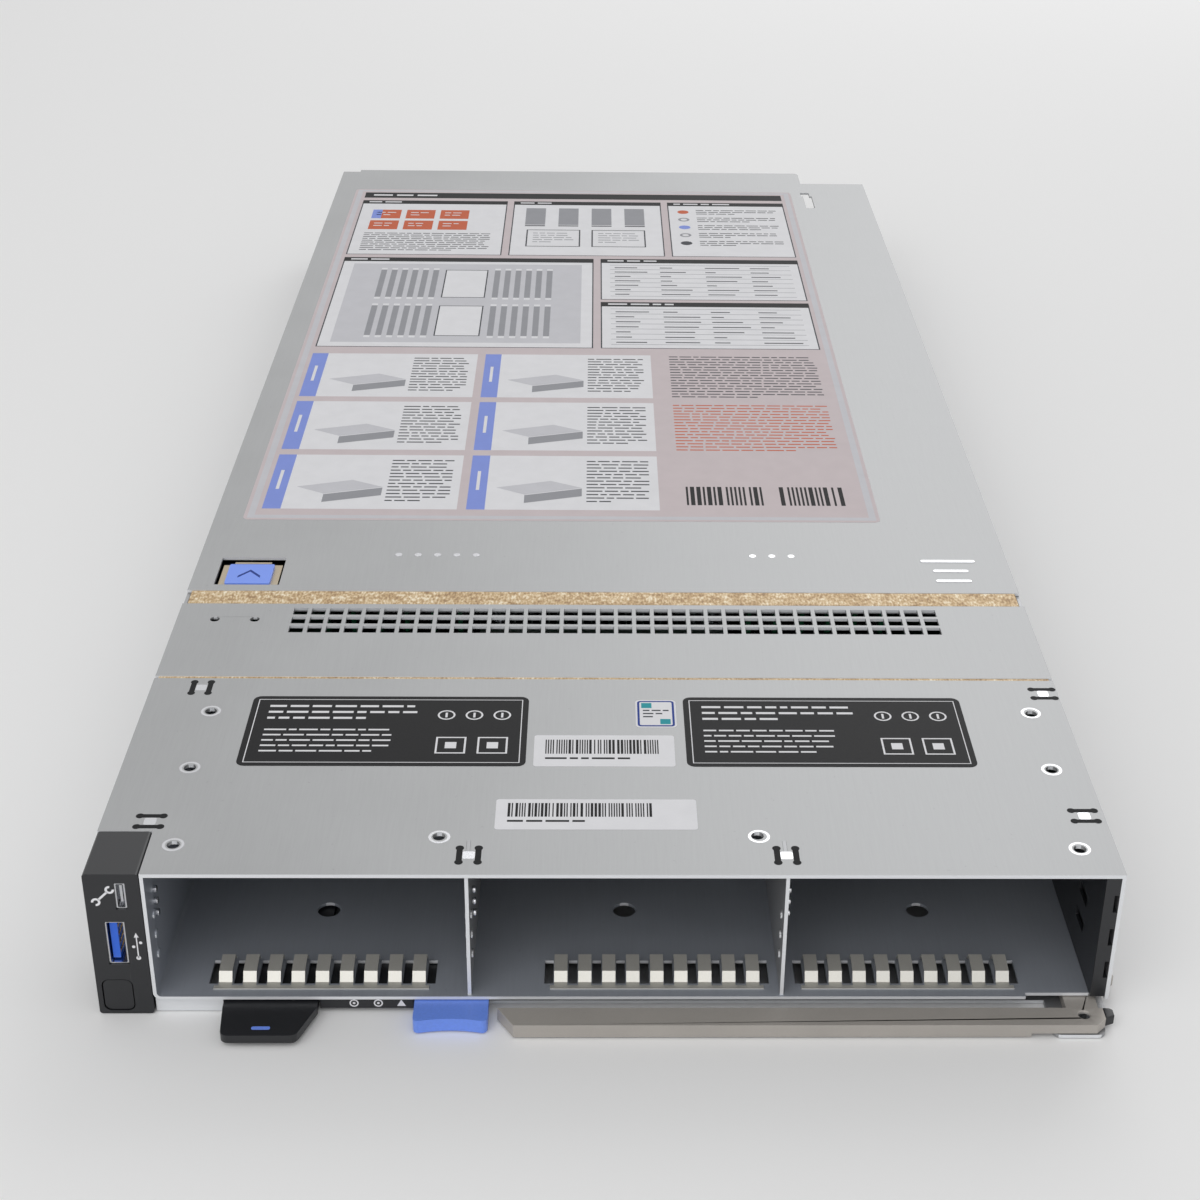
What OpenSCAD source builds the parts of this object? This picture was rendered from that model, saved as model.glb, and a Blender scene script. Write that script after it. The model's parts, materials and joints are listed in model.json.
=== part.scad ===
// Single-width compute sled of a modular server, with a three-bay drive cage at its front.
// X runs across, Y runs from the drive bays to the rear connectors, and Z is up.
// The origin is at the middle of the tray's underside.

/* [Overall size] */
// Width over the tray's side walls
sled_w = 250.2; // [220:0.1:320]
// Height from the underside to the top of the cover
sled_h = 42.15; // [41:0.05:60]
// Length from the drive bay mouths to the cover's rear edge
sled_l = 572; // [540:1:700]

/* [Sheet metal] */
// Thickness of the tray and the top plates
sheet_t = 1; // [0.8:0.1:1.4]
// Thickness of the cover, the cage and its dividers
thin_t = 0.9; // [0.7:0.1:1.1]
// Outer radius of the tray's bends
bend_r = 2; // [1.6:0.1:3]

/* [Drive cage] */
// Clear width of one drive bay
bay_w = 76.4; // [64:0.1:80]
// Depth of the drive bays
bay_l = 100; // [90:1:120]
// Height of the cage floor's underside above the tray's underside
cage_z = 4.3; // [4.2:0.1:5.4]
// Width of one grounding spring finger
finger_w = 3.3; // [2:0.1:4.4]
// Distance between grounding spring fingers
finger_pitch = 6; // [5:0.1:7]

/* [Top plates and cover] */
// Length of the plate over the drive bays
bay_plate_l = 91; // [76:1:95]
// Distance from the bay mouths to the front of the wide gasket
gasket_y = 134.2; // [126:0.1:150]
// Width of the wide gasket
gasket_w = 8; // [6:0.1:10]
// Side of one square vent hole
vent_hole = 4.1; // [3:0.1:4.8]
// Distance between vent holes
vent_pitch = 5.3; // [5:0.1:6.4]
// Columns of vent holes
vent_columns = 36; // [20:1:38]
// Depth of the rear corner notch
notch_l = 16.5; // [10:0.5:24]
// Width of the rear corner notch
notch_w = 30; // [24:0.5:34]
// Depth of the cover's side flanges
flange_h = 7; // [5:0.5:10]

/* [Front controls] */
// Width of the control panel
panel_w = 13.4; // [12:0.1:16]
// Depth of the control panel housing
panel_l = 17.6; // [14:0.1:24]
// Height of the power button
button_h = 9; // [7:0.1:10]
// Width of the power button
button_w = 7.1; // [6:0.1:8]
// Width of the information tag
tag_w = 23.2; // [18:0.1:26]
// Length of the information tag
tag_l = 58; // [48:1:75]
// Length of the handle's bar
handle_l = 150; // [120:1:152]
// Width of the handle's bar from front to rear
handle_d = 6.6; // [5.4:0.1:8]
// Radius of the handle's pivot pin
pivot_r = 1.5; // [1.2:0.1:1.8]
// Width of the blue release button
release_w = 18.3; // [15:0.1:20]

/* [System board] */
// Height of the system board's top face
board_z = 7; // [6.4:0.1:8]
// Thickness of the system board
board_t = 1.8; // [1.4:0.1:2.4]
// Length of one memory module
module_l = 133.3; // [112:0.1:136]
// Height of one memory module
module_h = 30.8; // [26:0.1:31.2]
// Distance between memory modules
module_pitch = 8.1; // [7.6:0.1:8.4]
// Width of one processor heatsink
heatsink_w = 78; // [66:1:94]
// Number of fins on one heatsink
fin_count = 30; // [16:1:34]

/* [Rear input and output] */
// Width of one mezzanine card
card_w = 61.4; // [60:0.1:72]
// Length of one mezzanine card
card_l = 84; // [70:1:100]
// Height of the mezzanine card's top face
card_z = 25; // [22:0.1:27]
// Width of one rear connector
plug_w = 15; // [13:0.1:16]
// Distance that a rear connector reaches behind the cover
plug_out = 13.5; // [10:0.1:16]
// Radius of the guide bore beside each pair of connectors
guide_r = 3.8; // [3:0.1:4.2]

/* [Hidden] */
$fn = 48;

// Clearances
slide_gap = 0.3;
snug_gap = 0.2;
pin_gap = 0.05;
past = 1;

// Faces of the tray, and how far the floor stays back from the bay mouths
floor_in = 3.6;
wall_x = sled_w / 2;
inner_x = wall_x - sheet_t;
front_y = -sled_l / 2;
rear_y = sled_l / 2;
plate_z = sled_h - sheet_t;
cover_z = sled_h - thin_t;

// Drive cage
cage_top = cage_z + thin_t;
cage_left = -wall_x + panel_w + snug_gap;
bay_left = cage_left + thin_t;
bay_pitch = bay_w + thin_t;
bay_count = 3;
cage_right = bay_left + bay_count * bay_w + (bay_count - 1) * thin_t;
cage_rear = front_y + bay_l;
finger_count = 9;
finger_in = [16, 22, 7.4];
finger_y = front_y + 4;
finger_l = 10;
finger_rise = 3;
finger_t = 0.3;
tab_w = 6;
tab_in = [8, 60];

// Drive backplane, with two drives stacked in each bay
backplane_t = 1.6;
backplane_y = cage_rear + snug_gap;
backplane_top = plate_z - snug_gap;
drive_pitch = 16.5;
drive_plug = [42, 6, 6.4];

// Top plates and the gaskets on their seams
seam_w = 1.2;
vent_y = front_y + bay_plate_l + seam_w;
gasket_front = front_y + gasket_y;
ledge_drop = 1.2;
ledge_l = gasket_w + 2.4;
cover_front = gasket_front + gasket_w + snug_gap;
vent_rows = 3;
vent_x = -91.7;
vent_front = front_y + 117;

// Hinge line and window of the cover's latch tongue
latch_x = -wall_x + 17;
latch_w = 18;
latch_l = 14.6;
latch_y = cover_front + 3.6;
latch_gap = 0.8;
tongue_t = 0.8;
tongue_top = cover_z - snug_gap;

// Front controls under and beside the drive cage
control_bottom = sheet_t + slide_gap;
control_top = cage_z - slide_gap;
panel_mid = -wall_x + panel_w / 2;
socket_x = -wall_x + 6.3;
usb_w = 4.8;
usb_h = 12.8;
usb_z = 15.2;
usb_l = 12;
shell_t = 0.4;
micro_x = -wall_x + 8.6;
micro_w = 2.6;
micro_h = 7.6;
micro_z = 31.8;
button_z = 1.2;
button_x = -wall_x + 5.1;
button_l = 7;
tag_x = -82.8;
tag_out = 12.6;
strip_left = tag_x + tag_w / 2 + slide_gap;
release_x = -38.2;
release_out = 7.8;
release_l = 26;
strip_right = release_x - release_w / 2 - slide_gap;

// Handle, which turns about an upright pin at its right end
handle_front = front_y - 9.4;
handle_bottom = 0.3;
handle_right = wall_x - 2;
pivot_x = wall_x - 7.1;
pivot_y = handle_front + handle_d * 0.6;
arm_w = 8;
hook_out = 3.4;
hook_l = 8;
hook_y = pivot_y + 13;

// System board and what it carries
board_front = front_y + 112;
board_rear = rear_y - 34;
board_w = sled_w - 8;
board_bottom = board_z - board_t;
standoff_r = 3;
screw_r = 1.5;
socket_size = [76, 56, 5.5];
package_size = [70, 52, 3.4];
heatsink_l = 108;
heatsink_base = 4;
fin_t = 0.5;
fin_top = cover_z - 1.4;
bank_in = 34;
bank_gap = 16.7;
bank_y = board_front + bank_in + module_l / 2;
cpu_y = [bank_y, bank_y + module_l + bank_gap];
bank_rear = cpu_y[1] + module_l / 2 + 5;
package_z = board_z + socket_size[2];
heatsink_z = package_z + package_size[2];
module_count = 6;
module_t = 1.3;
slot_h = 7;
slot_w = 6.2;
slot_seat = 2.4;
module_in = heatsink_w / 2 + 5;

// Rear cards
card_t = 1.6;
card_rear = rear_y - 1;
card_left_x = -wall_x + 3;
card_right_x = -wall_x + 158.2;
plug_bottom = 6.5;
plug_l = 38;
plug_in = [4.7, 36.2];
guide_in = 26.6;
guide_w = 11.4;
guide_z = 11.6;
guide_l = 16;
screw_in = 28;
shield_h = 8;
shield_rear = rear_y - 14;

// Power connector in the rear corner notch
power_x = wall_x - 19;
power_w = 22;
power_h = 20;
power_l = 26;
power_rear = rear_y - notch_l - 4;

function finger_x(bay, i) = bay_left + bay * bay_pitch + finger_in[bay] + i * finger_pitch;
function divider_x(i) = bay_left + i * bay_w + (i - 1) * thin_t;

// A box between two corners
module block(low, high) {
    translate(low) cube(high - low);
}

// A flat outline of w by h with round corners, centred
module round_rect(w, h, r) {
    square([w - 2 * r, h], center = true);
    square([w, h - 2 * r], center = true);
    for (x = [-1, 1], y = [-1, 1])
        translate([x * (w / 2 - r), y * (h / 2 - r)]) circle(r);
}

// A quarter ring, which is the bend of a folded sheet
module bend(r, t) {
    intersection() {
        difference() {
            circle(r);
            circle(r - t);
        }
        translate([-r, -r]) square(r);
    }
}

// Extrudes an XZ outline along Y from y0 to y1
module along_y(y0, y1) {
    translate([0, y1, 0]) rotate([90, 0, 0]) linear_extrude(y1 - y0) children();
}

// A plate of round-cornered outline between two heights
module round_plate(x0, x1, y0, y1, z0, z1, r) {
    translate([(x0 + x1) / 2, (y0 + y1) / 2, z0])
        linear_extrude(z1 - z0) round_rect(x1 - x0, y1 - y0, r);
}

// A tongue and groove pair of slots and a divider tab share this place
module divider_tabs(x, grow, z1) {
    for (y = tab_in)
        block([x - grow, front_y + y - grow, plate_z - past * grow],
              [x + thin_t + grow, front_y + y + tab_w + grow, z1]);
}

module tray_profile() {
    translate([-wall_x + bend_r, 0]) square([sled_w - 2 * bend_r, sheet_t]);
    for (side = [0, 1]) mirror([side, 0]) {
        translate([-wall_x, bend_r]) square([sheet_t, plate_z - bend_r]);
        translate([-wall_x + bend_r, bend_r]) bend(bend_r, sheet_t);
    }
}

module base_tray() {
    color("#9c9d9f") difference() {
        union() {
            difference() {
                along_y(front_y, rear_y) tray_profile();
                // Room for the control panel housing
                block([-wall_x - past, front_y - past, -past],
                      [cage_left, front_y + panel_l + snug_gap, sled_h]);
                // The floor starts behind the bay mouths
                block([cage_left - past, front_y - past, -past],
                      [pivot_x - arm_w, front_y + floor_in, sheet_t + past]);
            }
            // Lip beside the information tag
            block([cage_left + snug_gap, front_y + 1, 0],
                  [tag_x - tag_w / 2 - slide_gap, front_y + 1 + sheet_t, control_top]);
            block([cage_left + snug_gap, front_y + 1, 0],
                  [tag_x - tag_w / 2 - slide_gap, front_y + floor_in + past, sheet_t]);
            // Tab that holds the handle's pivot pin
            round_plate(pivot_x - arm_w, handle_right, pivot_y - 4, front_y + 12, 0, sheet_t, 2);
        }
        // Rear corner notch
        block([wall_x - notch_w, rear_y - notch_l + 1, -past],
              [wall_x + past, rear_y + past, sled_h]);
        // Slot in the side wall for the handle's hook
        block([inner_x - bend_r, front_y - past, control_bottom - slide_gap],
              [wall_x + past, hook_y + hook_l + 6, cage_z]);
        translate([pivot_x, pivot_y, -past]) cylinder(r = pivot_r + pin_gap, h = 2 * past + sheet_t);
        // Air slots in the floor beside the drive cage
        for (x = [-80:20:80])
            translate([x, cage_rear + 6, -past])
                linear_extrude(2 * past + sheet_t) round_rect(12, 3, 1.4);
    }
}

module drive_cage() {
    color("#8d9094") difference() {
        union() {
            along_y(front_y, cage_rear) {
                translate([cage_left + bend_r, cage_z])
                    square([cage_right - cage_left - bend_r, thin_t]);
                translate([cage_left, cage_z + bend_r])
                    square([thin_t, plate_z - cage_z - bend_r]);
                translate([cage_left + bend_r, cage_z + bend_r]) bend(bend_r, thin_t);
            }
            // Small embosses that centre a drive in its bay
            for (z = [14, 20, 26])
                translate([bay_left - thin_t / 2, front_y + 6, z])
                    rotate([0, 90, 0]) cylinder(r = 1.2, h = thin_t / 2 + 0.4);
        }
        // Slots behind the grounding fingers
        for (bay = [0:bay_count - 1], i = [0:finger_count])
            block([finger_x(bay, i) - finger_pitch / 2 - 1.1, finger_y + 1, cage_z - past],
                  [finger_x(bay, i) - finger_pitch / 2 + 1.1, finger_y + finger_l, cage_top + past]);
        // Step in the front edge above the handle's pivot
        block([cage_right - 16, front_y - past, cage_z - past],
              [cage_right + past, front_y + 1.4, cage_top + past]);
        for (bay = [0:bay_count - 1], y = [35, 75])
            translate([bay_left + bay * bay_pitch + bay_w / 2, front_y + y, cage_z - past])
                cylinder(r = 3, h = thin_t + 2 * past);
    }
}

module right_cage_wall() {
    color("#1b1c1f") difference() {
        union() {
            block([cage_right, front_y, cage_top], [cage_right + thin_t, cage_rear, plate_z]);
            block([cage_right, front_y, cage_top], [inner_x, front_y + 9, plate_z]);
        }
        for (z = [11, 21, 31])
            block([inner_x - 1.2, front_y - past, z], [inner_x + past, front_y + 4, z + 5]);
        for (z = [14, 22])
            block([cage_right - past, front_y + 14, z], [cage_right + 2 * thin_t, front_y + 22, z + 3]);
    }
}

module bay_divider(x) {
    block([x, front_y + 0.6, cage_top], [x + thin_t, cage_rear, plate_z]);
    divider_tabs(x, 0, sled_h);
    for (z = [14, 20, 26])
        translate([x - 0.4, front_y + 6, z]) rotate([0, 90, 0]) cylinder(r = 1.2, h = thin_t + 0.8);
}

module bay_divider_left() {
    color("#a5a7aa") bay_divider(divider_x(1));
}

module bay_divider_right() {
    color("#a5a7aa") bay_divider(divider_x(2));
}

// One finger rises from the floor and leans back
module finger() {
    rotate([90, 0, 90]) linear_extrude(finger_w, center = true)
        polygon([[0, 0], [1.6, 0], [3, finger_rise - 0.6], [finger_l - 2, finger_rise],
                 [finger_l - 0.4, 1], [finger_l, 1.2], [finger_l - 1.6, finger_rise + finger_t],
                 [2.6, finger_rise - 0.6 + finger_t], [1.2, finger_t], [0, finger_t]]);
}

module grounding_springs() {
    color("#c9c8c2") for (bay = [0:bay_count - 1]) {
        block([finger_x(bay, 0) - finger_w / 2 - 1, finger_y - 1.2, cage_top],
              [finger_x(bay, finger_count - 1) + finger_w / 2 + 1, finger_y, cage_top + finger_t]);
        for (i = [0:finger_count - 1])
            translate([finger_x(bay, i), finger_y, cage_top]) finger();
    }
}

module drive_backplane() {
    color("#20402c") difference() {
        block([bay_left + snug_gap, backplane_y, cage_top],
              [cage_right - snug_gap, backplane_y + backplane_t, backplane_top]);
        // Air passes between and beside the drive connectors
        for (bay = [0:bay_count - 1], x = [7, bay_w - 11])
            block([bay_left + bay * bay_pitch + x, backplane_y - past, cage_top + 4],
                  [bay_left + bay * bay_pitch + x + 5, backplane_y + 2 * past + 1, backplane_top - 4]);
        for (bay = [0:bay_count - 1])
            block([bay_left + bay * bay_pitch + 18, backplane_y - past, cage_top + 15],
                  [bay_left + (bay + 1) * bay_pitch - 20, backplane_y + 2 * past + 1, cage_top + 20]);
    }
}

module drive_connectors() {
    color("#17181a") for (bay = [0:bay_count - 1], row = [0, 1])
        translate([bay_left + bay * bay_pitch + bay_w / 2,
                   backplane_y - drive_plug[1], cage_top + 5 + row * drive_pitch])
            difference() {
                translate([-drive_plug[0] / 2, 0, 0]) cube(drive_plug);
                translate([-drive_plug[0] / 2 + 1.4, -past, 1.2])
                    cube([drive_plug[0] - 2.8, drive_plug[1] - 1, 1.4]);
                translate([-drive_plug[0] / 2 + 1.4, -past, 4])
                    cube([drive_plug[0] - 2.8, drive_plug[1] - 1, 1.2]);
            }
}

// A top plate with inner side flanges that sit against the tray's walls
module flanged_plate(y0, y1, drop) {
    block([-wall_x, y0, plate_z], [wall_x, y1, sled_h]);
    for (side = [0, 1]) mirror([side, 0, 0])
        block([inner_x - sheet_t, y0 + 2, plate_z - drop], [inner_x, y1 - 2, plate_z]);
}

// Holes pressed into the bay plate for countersunk screws
bay_plate_holes = [[-wall_x + 19.6, 12.1], [-wall_x + 17.7, 46.1], [-wall_x + 18.5, 73.7],
                   [divider_x(1) - 7, 15.7], [divider_x(2) - 6, 16.2],
                   [wall_x - 9.2, 10.8], [wall_x - 9.2, 46], [wall_x - 9.4, 73.4]];

module bay_top_plate() {
    color("#b4b5b4") difference() {
        flanged_plate(front_y, front_y + bay_plate_l, 6);
        block([-wall_x - past, front_y - past, plate_z - 8],
              [cage_left, front_y + panel_l + snug_gap, sled_h + past]);
        block([inner_x - 8, front_y - past, plate_z - 8], [inner_x + past / 2, front_y + 10, plate_z]);
        for (p = bay_plate_holes)
            translate([p[0], front_y + p[1], plate_z - past]) cylinder(r = 1.6, h = sheet_t + 2 * past);
        for (i = [1, 2]) divider_tabs(divider_x(i), pin_gap, sled_h + past);
    }
}

module vent_plate() {
    ledge_top = sled_h - ledge_drop;
    color("#b4b5b4") difference() {
        union() {
            flanged_plate(vent_y, gasket_front, 6);
            // Joggled ledge under the gasket and the cover's front edge
            block([-inner_x, gasket_front - sheet_t, ledge_top - sheet_t],
                  [inner_x, gasket_front, sled_h]);
            block([-inner_x + 3, gasket_front, ledge_top - sheet_t],
                  [inner_x - 3, gasket_front + ledge_l, ledge_top]);
        }
        for (row = [0:vent_rows - 1], column = [0:vent_columns - 1])
            translate([vent_x + column * vent_pitch, vent_front + row * vent_pitch, plate_z - past])
                cube([vent_hole, vent_hole, sheet_t + 2 * past]);
        for (x = [11.1, 22.7])
            translate([-wall_x + x, front_y + 124.7, plate_z - past])
                cylinder(r = 1.4, h = sheet_t + 2 * past);
    }
}

module wide_gasket() {
    color("#b99c72") block([-inner_x + 0.5, gasket_front, sled_h - ledge_drop],
                           [inner_x - 0.5, gasket_front + gasket_w, sled_h]);
}

module seam_gasket() {
    color("#b99c72") block([-wall_x + 1, front_y + bay_plate_l, sled_h - 0.9],
                           [wall_x - 1, front_y + bay_plate_l + seam_w, sled_h - 0.2]);
}

module panel_housing() {
    rear = front_y + panel_l;
    color("#1d1e21") difference() {
        along_y(front_y, rear) translate([panel_mid, sled_h / 2]) round_rect(panel_w, sled_h, 0.8);
        // Pockets for the two sockets and the button
        block([socket_x - usb_w / 2 - pin_gap, front_y - past, usb_z - pin_gap],
              [socket_x + usb_w / 2 + pin_gap, front_y + usb_l, usb_z + usb_h + pin_gap]);
        block([micro_x - micro_w / 2 - pin_gap, front_y - past, micro_z - pin_gap],
              [micro_x + micro_w / 2 + pin_gap, front_y + 6, micro_z + micro_h + pin_gap]);
        along_y(front_y - past, front_y + button_l + 2) translate([button_x, button_z + button_h / 2])
            round_rect(button_w + 2 * slide_gap, button_h + 2 * slide_gap, 1.6 + slide_gap);
        // Open back that holds the panel's own board
        block([-wall_x + 1, front_y + usb_l, 1.2], [-wall_x + panel_w - 1, rear + past, sled_h - 1.2]);
    }
}

module panel_board() {
    color("#1f5a38") block([-wall_x + 1.2, front_y + usb_l + 0.2, 1.4],
                           [-wall_x + panel_w - 1.2, front_y + usb_l + 1.8, sled_h - 1.4]);
}

// A tube of sheet that a plug enters from the front
module socket_shell(x, z, w, h, depth) {
    translate([0, 0, z + h / 2]) along_y(front_y + 0.4, front_y + depth) translate([x, 0])
        difference() {
            round_rect(w, h, 0.6);
            round_rect(w - 2 * shell_t, h - 2 * shell_t, 0.3);
        }
}

module usb_shell() {
    color("#b8b9bb") socket_shell(socket_x, usb_z, usb_w, usb_h, usb_l - 0.6);
    color("#b8b9bb") block([socket_x - usb_w / 2 + shell_t / 2, front_y + usb_l - 1, usb_z + shell_t],
                           [socket_x + usb_w / 2 - shell_t / 2, front_y + usb_l, usb_z + usb_h - shell_t]);
}

module usb_tongue() {
    color("#2f6fd0") block([socket_x - 1.6, front_y + 1.6, usb_z + 0.9],
                           [socket_x + 0.2, front_y + usb_l - 1, usb_z + usb_h - 0.9]);
}

module micro_usb_port() {
    color("#b8b9bb") {
        socket_shell(micro_x, micro_z, micro_w, micro_h, 5.6);
        block([micro_x - micro_w / 2 + shell_t / 2, front_y + 5, micro_z + shell_t],
              [micro_x + micro_w / 2 - shell_t / 2, front_y + 6, micro_z + micro_h - shell_t]);
        block([micro_x - 0.3, front_y + 1.4, micro_z + 1.4],
              [micro_x + 0.3, front_y + 5.4, micro_z + micro_h - 1.4]);
    }
}

module power_button() {
    color("#26282b") along_y(front_y + 0.2, front_y + button_l)
        translate([button_x, button_z + button_h / 2]) round_rect(button_w, button_h, 1.6);
}

module status_strip() {
    color("#141517") block([strip_left, front_y + 0.6, sheet_t + 0.1],
                           [strip_right, front_y + 14, cage_z - pin_gap]);
}

// The tag's outline, with a tapered front end
module tag_outline() {
    taper = 4.4;
    r = 2;
    hull() {
        translate([-tag_w / 2, 0]) square([tag_w, tag_l - tag_out]);
        translate([-tag_w / 2 + r + 0.8, -tag_out + r]) circle(r, $fn = 32);
        translate([tag_w / 2 - taper - r + 1, -tag_out + r]) circle(r, $fn = 32);
        translate([-tag_w / 2, -2]) square([tag_w, 2]);
    }
}

module information_tag() {
    color("#18191b") translate([tag_x, front_y, control_bottom])
        linear_extrude(control_top - control_bottom - 0.4) tag_outline();
}

// Outline of the release button, hollowed at the front for a finger
module release_outline() {
    scoop_r = 34;
    difference() {
        union() {
            translate([-release_w / 2, -1]) square([release_w, release_l - release_out + 1]);
            translate([0, -release_out / 2]) round_rect(release_w, release_out, 1.4);
            translate([-release_w / 2, -release_out / 2]) square([release_w, release_out / 2 + 0.5]);
        }
        translate([0, -release_out - scoop_r + 0.9]) circle(scoop_r, $fn = 96);
    }
}

module release_button() {
    color("#5b84ee") translate([release_x, front_y, 0]) {
        translate([0, 0, control_bottom])
            linear_extrude(control_top - control_bottom) release_outline();
        // The finger pad reaches down in front of the tray
        intersection() {
            translate([0, 0, handle_bottom]) linear_extrude(control_top - handle_bottom) release_outline();
            block([-release_w, -release_out - past, 0], [release_w, 0, cage_z]);
        }
    }
}

// Outline of the handle's bar and of the arm behind it that ends in a hook
module handle_outline() {
    left = handle_right - handle_l;
    rear = handle_front + handle_d;
    polygon([[left, rear], [left + 4.2, handle_front], [handle_right - 2.4, handle_front],
             [handle_right, handle_front + 2.4], [handle_right, rear], [left, rear]]);
}

module hook_outline() {
    polygon([[pivot_x - arm_w / 2, handle_front + 2], [pivot_x + arm_w / 2, handle_front + 2],
             [pivot_x + arm_w / 2, hook_y - 1], [wall_x + hook_out - 1.4, hook_y],
             [wall_x + hook_out, hook_y + 1.6], [wall_x + hook_out - 0.6, hook_y + hook_l - 1],
             [wall_x - 1, hook_y + hook_l + 1], [pivot_x, hook_y + hook_l + 0.6],
             [pivot_x - arm_w / 2, hook_y]]);
}

module release_handle() {
    color("#a8a49e") difference() {
        union() {
            translate([0, 0, handle_bottom]) linear_extrude(control_top - handle_bottom) handle_outline();
            translate([0, 0, control_bottom]) linear_extrude(control_top - control_bottom) hook_outline();
        }
        // Relief over the pivot tab, over its whole swing
        translate([pivot_x, pivot_y, 0])
            cylinder(r = arm_w + 6, h = control_bottom);
        translate([pivot_x, pivot_y, -past]) cylinder(r = pivot_r + pin_gap, h = sled_h);
    }
}

module handle_end_cap() {
    color("#1b1c1e") translate([0, 0, control_bottom])
        linear_extrude(control_top - control_bottom)
            polygon([[handle_right, handle_front + 2.6], [handle_right + 2.4, handle_front + 3.6],
                     [handle_right + 2.4, handle_front + handle_d - 0.8],
                     [handle_right + 1.4, handle_front + handle_d],
                     [handle_right, handle_front + handle_d]]);
}

module handle_pivot_pin() {
    color("#55575a") translate([pivot_x, pivot_y, 0]) cylinder(r = pivot_r, h = control_top - 0.5);
}

function standoff_places() = [
    for (x = [-board_w / 2 + 7, 0, board_w / 2 - 7], y = [board_front + 8, board_front + 174, board_rear - 60])
        [x, y]
];

module system_board() {
    color("#1f4a30") difference() {
        round_plate(-board_w / 2, board_w / 2, board_front, board_rear, board_bottom, board_z, 2);
        for (p = standoff_places())
            translate([p[0], p[1], board_bottom - past]) cylinder(r = screw_r + 0.2, h = board_t + 2 * past);
        // Corner cut for the power connector
        block([power_x - power_w / 2 - 2, power_rear - power_l - 12, board_bottom - past],
              [wall_x, board_rear + past, board_z + past]);
    }
}

module board_standoffs() {
    color("#c8b27a") for (p = standoff_places())
        translate([p[0], p[1], sheet_t]) difference() {
            cylinder(r = standoff_r, h = board_bottom - sheet_t);
            translate([0, 0, 1]) cylinder(r = screw_r + pin_gap, h = board_z);
        }
}

module board_screws() {
    color("#b8b9bb") for (p = standoff_places())
        translate([p[0], p[1], board_bottom - 2]) {
            cylinder(r = screw_r, h = board_t + 2);
            translate([0, 0, board_t + 2]) difference() {
                cylinder(r = 2.8, h = 1.6);
                translate([0, 0, 0.6]) cylinder(r = 1.3, h = 2, $fn = 6);
            }
        }
}

module processor_sockets() {
    color("#2b2c2e") for (y = cpu_y)
        translate([0, y, board_z]) difference() {
            translate([-socket_size[0] / 2, -socket_size[1] / 2, 0]) cube(socket_size);
            translate([-27, -20, 3]) cube([54, 40, socket_size[2]]);
            for (x = [-1, 1]) translate([x * 34, 0, -past]) cylinder(r = 2.2, h = socket_size[2] + 2 * past);
        }
}

module processors() {
    color("#b9bcbf") for (y = cpu_y) {
        translate([0, y, package_z - 2.5]) translate([-26.8, -19.8, 0]) cube([53.6, 39.6, 2.5]);
        translate([0, y, package_z]) round_plate(-25, 25, -18, 18, 0, package_size[2], 2);
    }
}

module heatsink(y) {
    bar = heatsink_w - fin_t;
    gap = bar / (fin_count - 1);
    difference() {
        along_y(y - heatsink_l / 2, y + heatsink_l / 2) {
            translate([-heatsink_w / 2, heatsink_z]) square([heatsink_w, heatsink_base]);
            for (i = [0:fin_count - 1])
                translate([-heatsink_w / 2 + i * gap, heatsink_z]) square([fin_t, fin_top - heatsink_z]);
        }
        for (x = [-1, 1], s = [-1, 1])
            translate([x * (heatsink_w / 2 - 6), y + s * (heatsink_l / 2 - 8), heatsink_z - past])
                cylinder(r = 4.2, h = sled_h);
    }
}

module front_heatsink() {
    color("#a9acb0") heatsink(cpu_y[0]);
}

module rear_heatsink() {
    color("#a9acb0") heatsink(cpu_y[1]);
}

module heatsink_screws() {
    color("#b8b9bb") for (y = cpu_y, x = [-1, 1], s = [-1, 1])
        translate([x * (heatsink_w / 2 - 6), y + s * (heatsink_l / 2 - 8), board_z])
            difference() {
                union() {
                    cylinder(r = 2.2, h = heatsink_z + heatsink_base - board_z);
                    translate([0, 0, heatsink_z + heatsink_base - board_z]) cylinder(r = 3.9, h = 6);
                }
                translate([0, 0, heatsink_z + heatsink_base - board_z + 3]) cylinder(r = 1.8, h = 6, $fn = 6);
            }
}

// Places of the memory modules on both sides of both heatsinks
function module_places() = [
    for (y = cpu_y, side = [-1, 1], i = [0:module_count - 1]) [side * (module_in + i * module_pitch), y]
];

module memory_sockets() {
    color("#1c1d20") for (p = module_places())
        translate([p[0], p[1], board_z]) difference() {
            union() {
                translate([-slot_w / 2, -module_l / 2 - 3, 0]) cube([slot_w, module_l + 6, slot_h]);
                for (s = [-1, 1])
                    translate([-slot_w / 2 + 0.6, s * (module_l / 2 + 2) - 2.4, 0])
                        cube([slot_w - 1.2, 4.8, 19]);
            }
            translate([-module_t / 2 - pin_gap, -module_l / 2 - 0.2, slot_seat])
                cube([module_t + 2 * pin_gap, module_l + 0.4, sled_h]);
        }
}

module memory_modules() {
    color("#1d5c3a") for (p = module_places())
        translate([p[0], p[1], board_z + slot_seat]) difference() {
            translate([-module_t / 2, -module_l / 2, 0]) cube([module_t, module_l, module_h]);
            for (s = [-1, 1])
                translate([-past, s * module_l / 2, module_h / 2]) rotate([0, 90, 0])
                    cylinder(r = 1.6, h = 2 * past);
        }
}

module chipset_heatsink() {
    x0 = 56;
    y0 = bank_rear + 2;
    color("#8f9296") {
        block([x0, y0, board_z], [x0 + 40, y0 + 40, board_z + 4]);
        for (i = [0:12])
            block([x0 + i * 3.2, y0, board_z + 4], [x0 + i * 3.2 + 1, y0 + 40, board_z + 12]);
    }
}

battery_x = -57;
battery_y = board_rear - 56;

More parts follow.
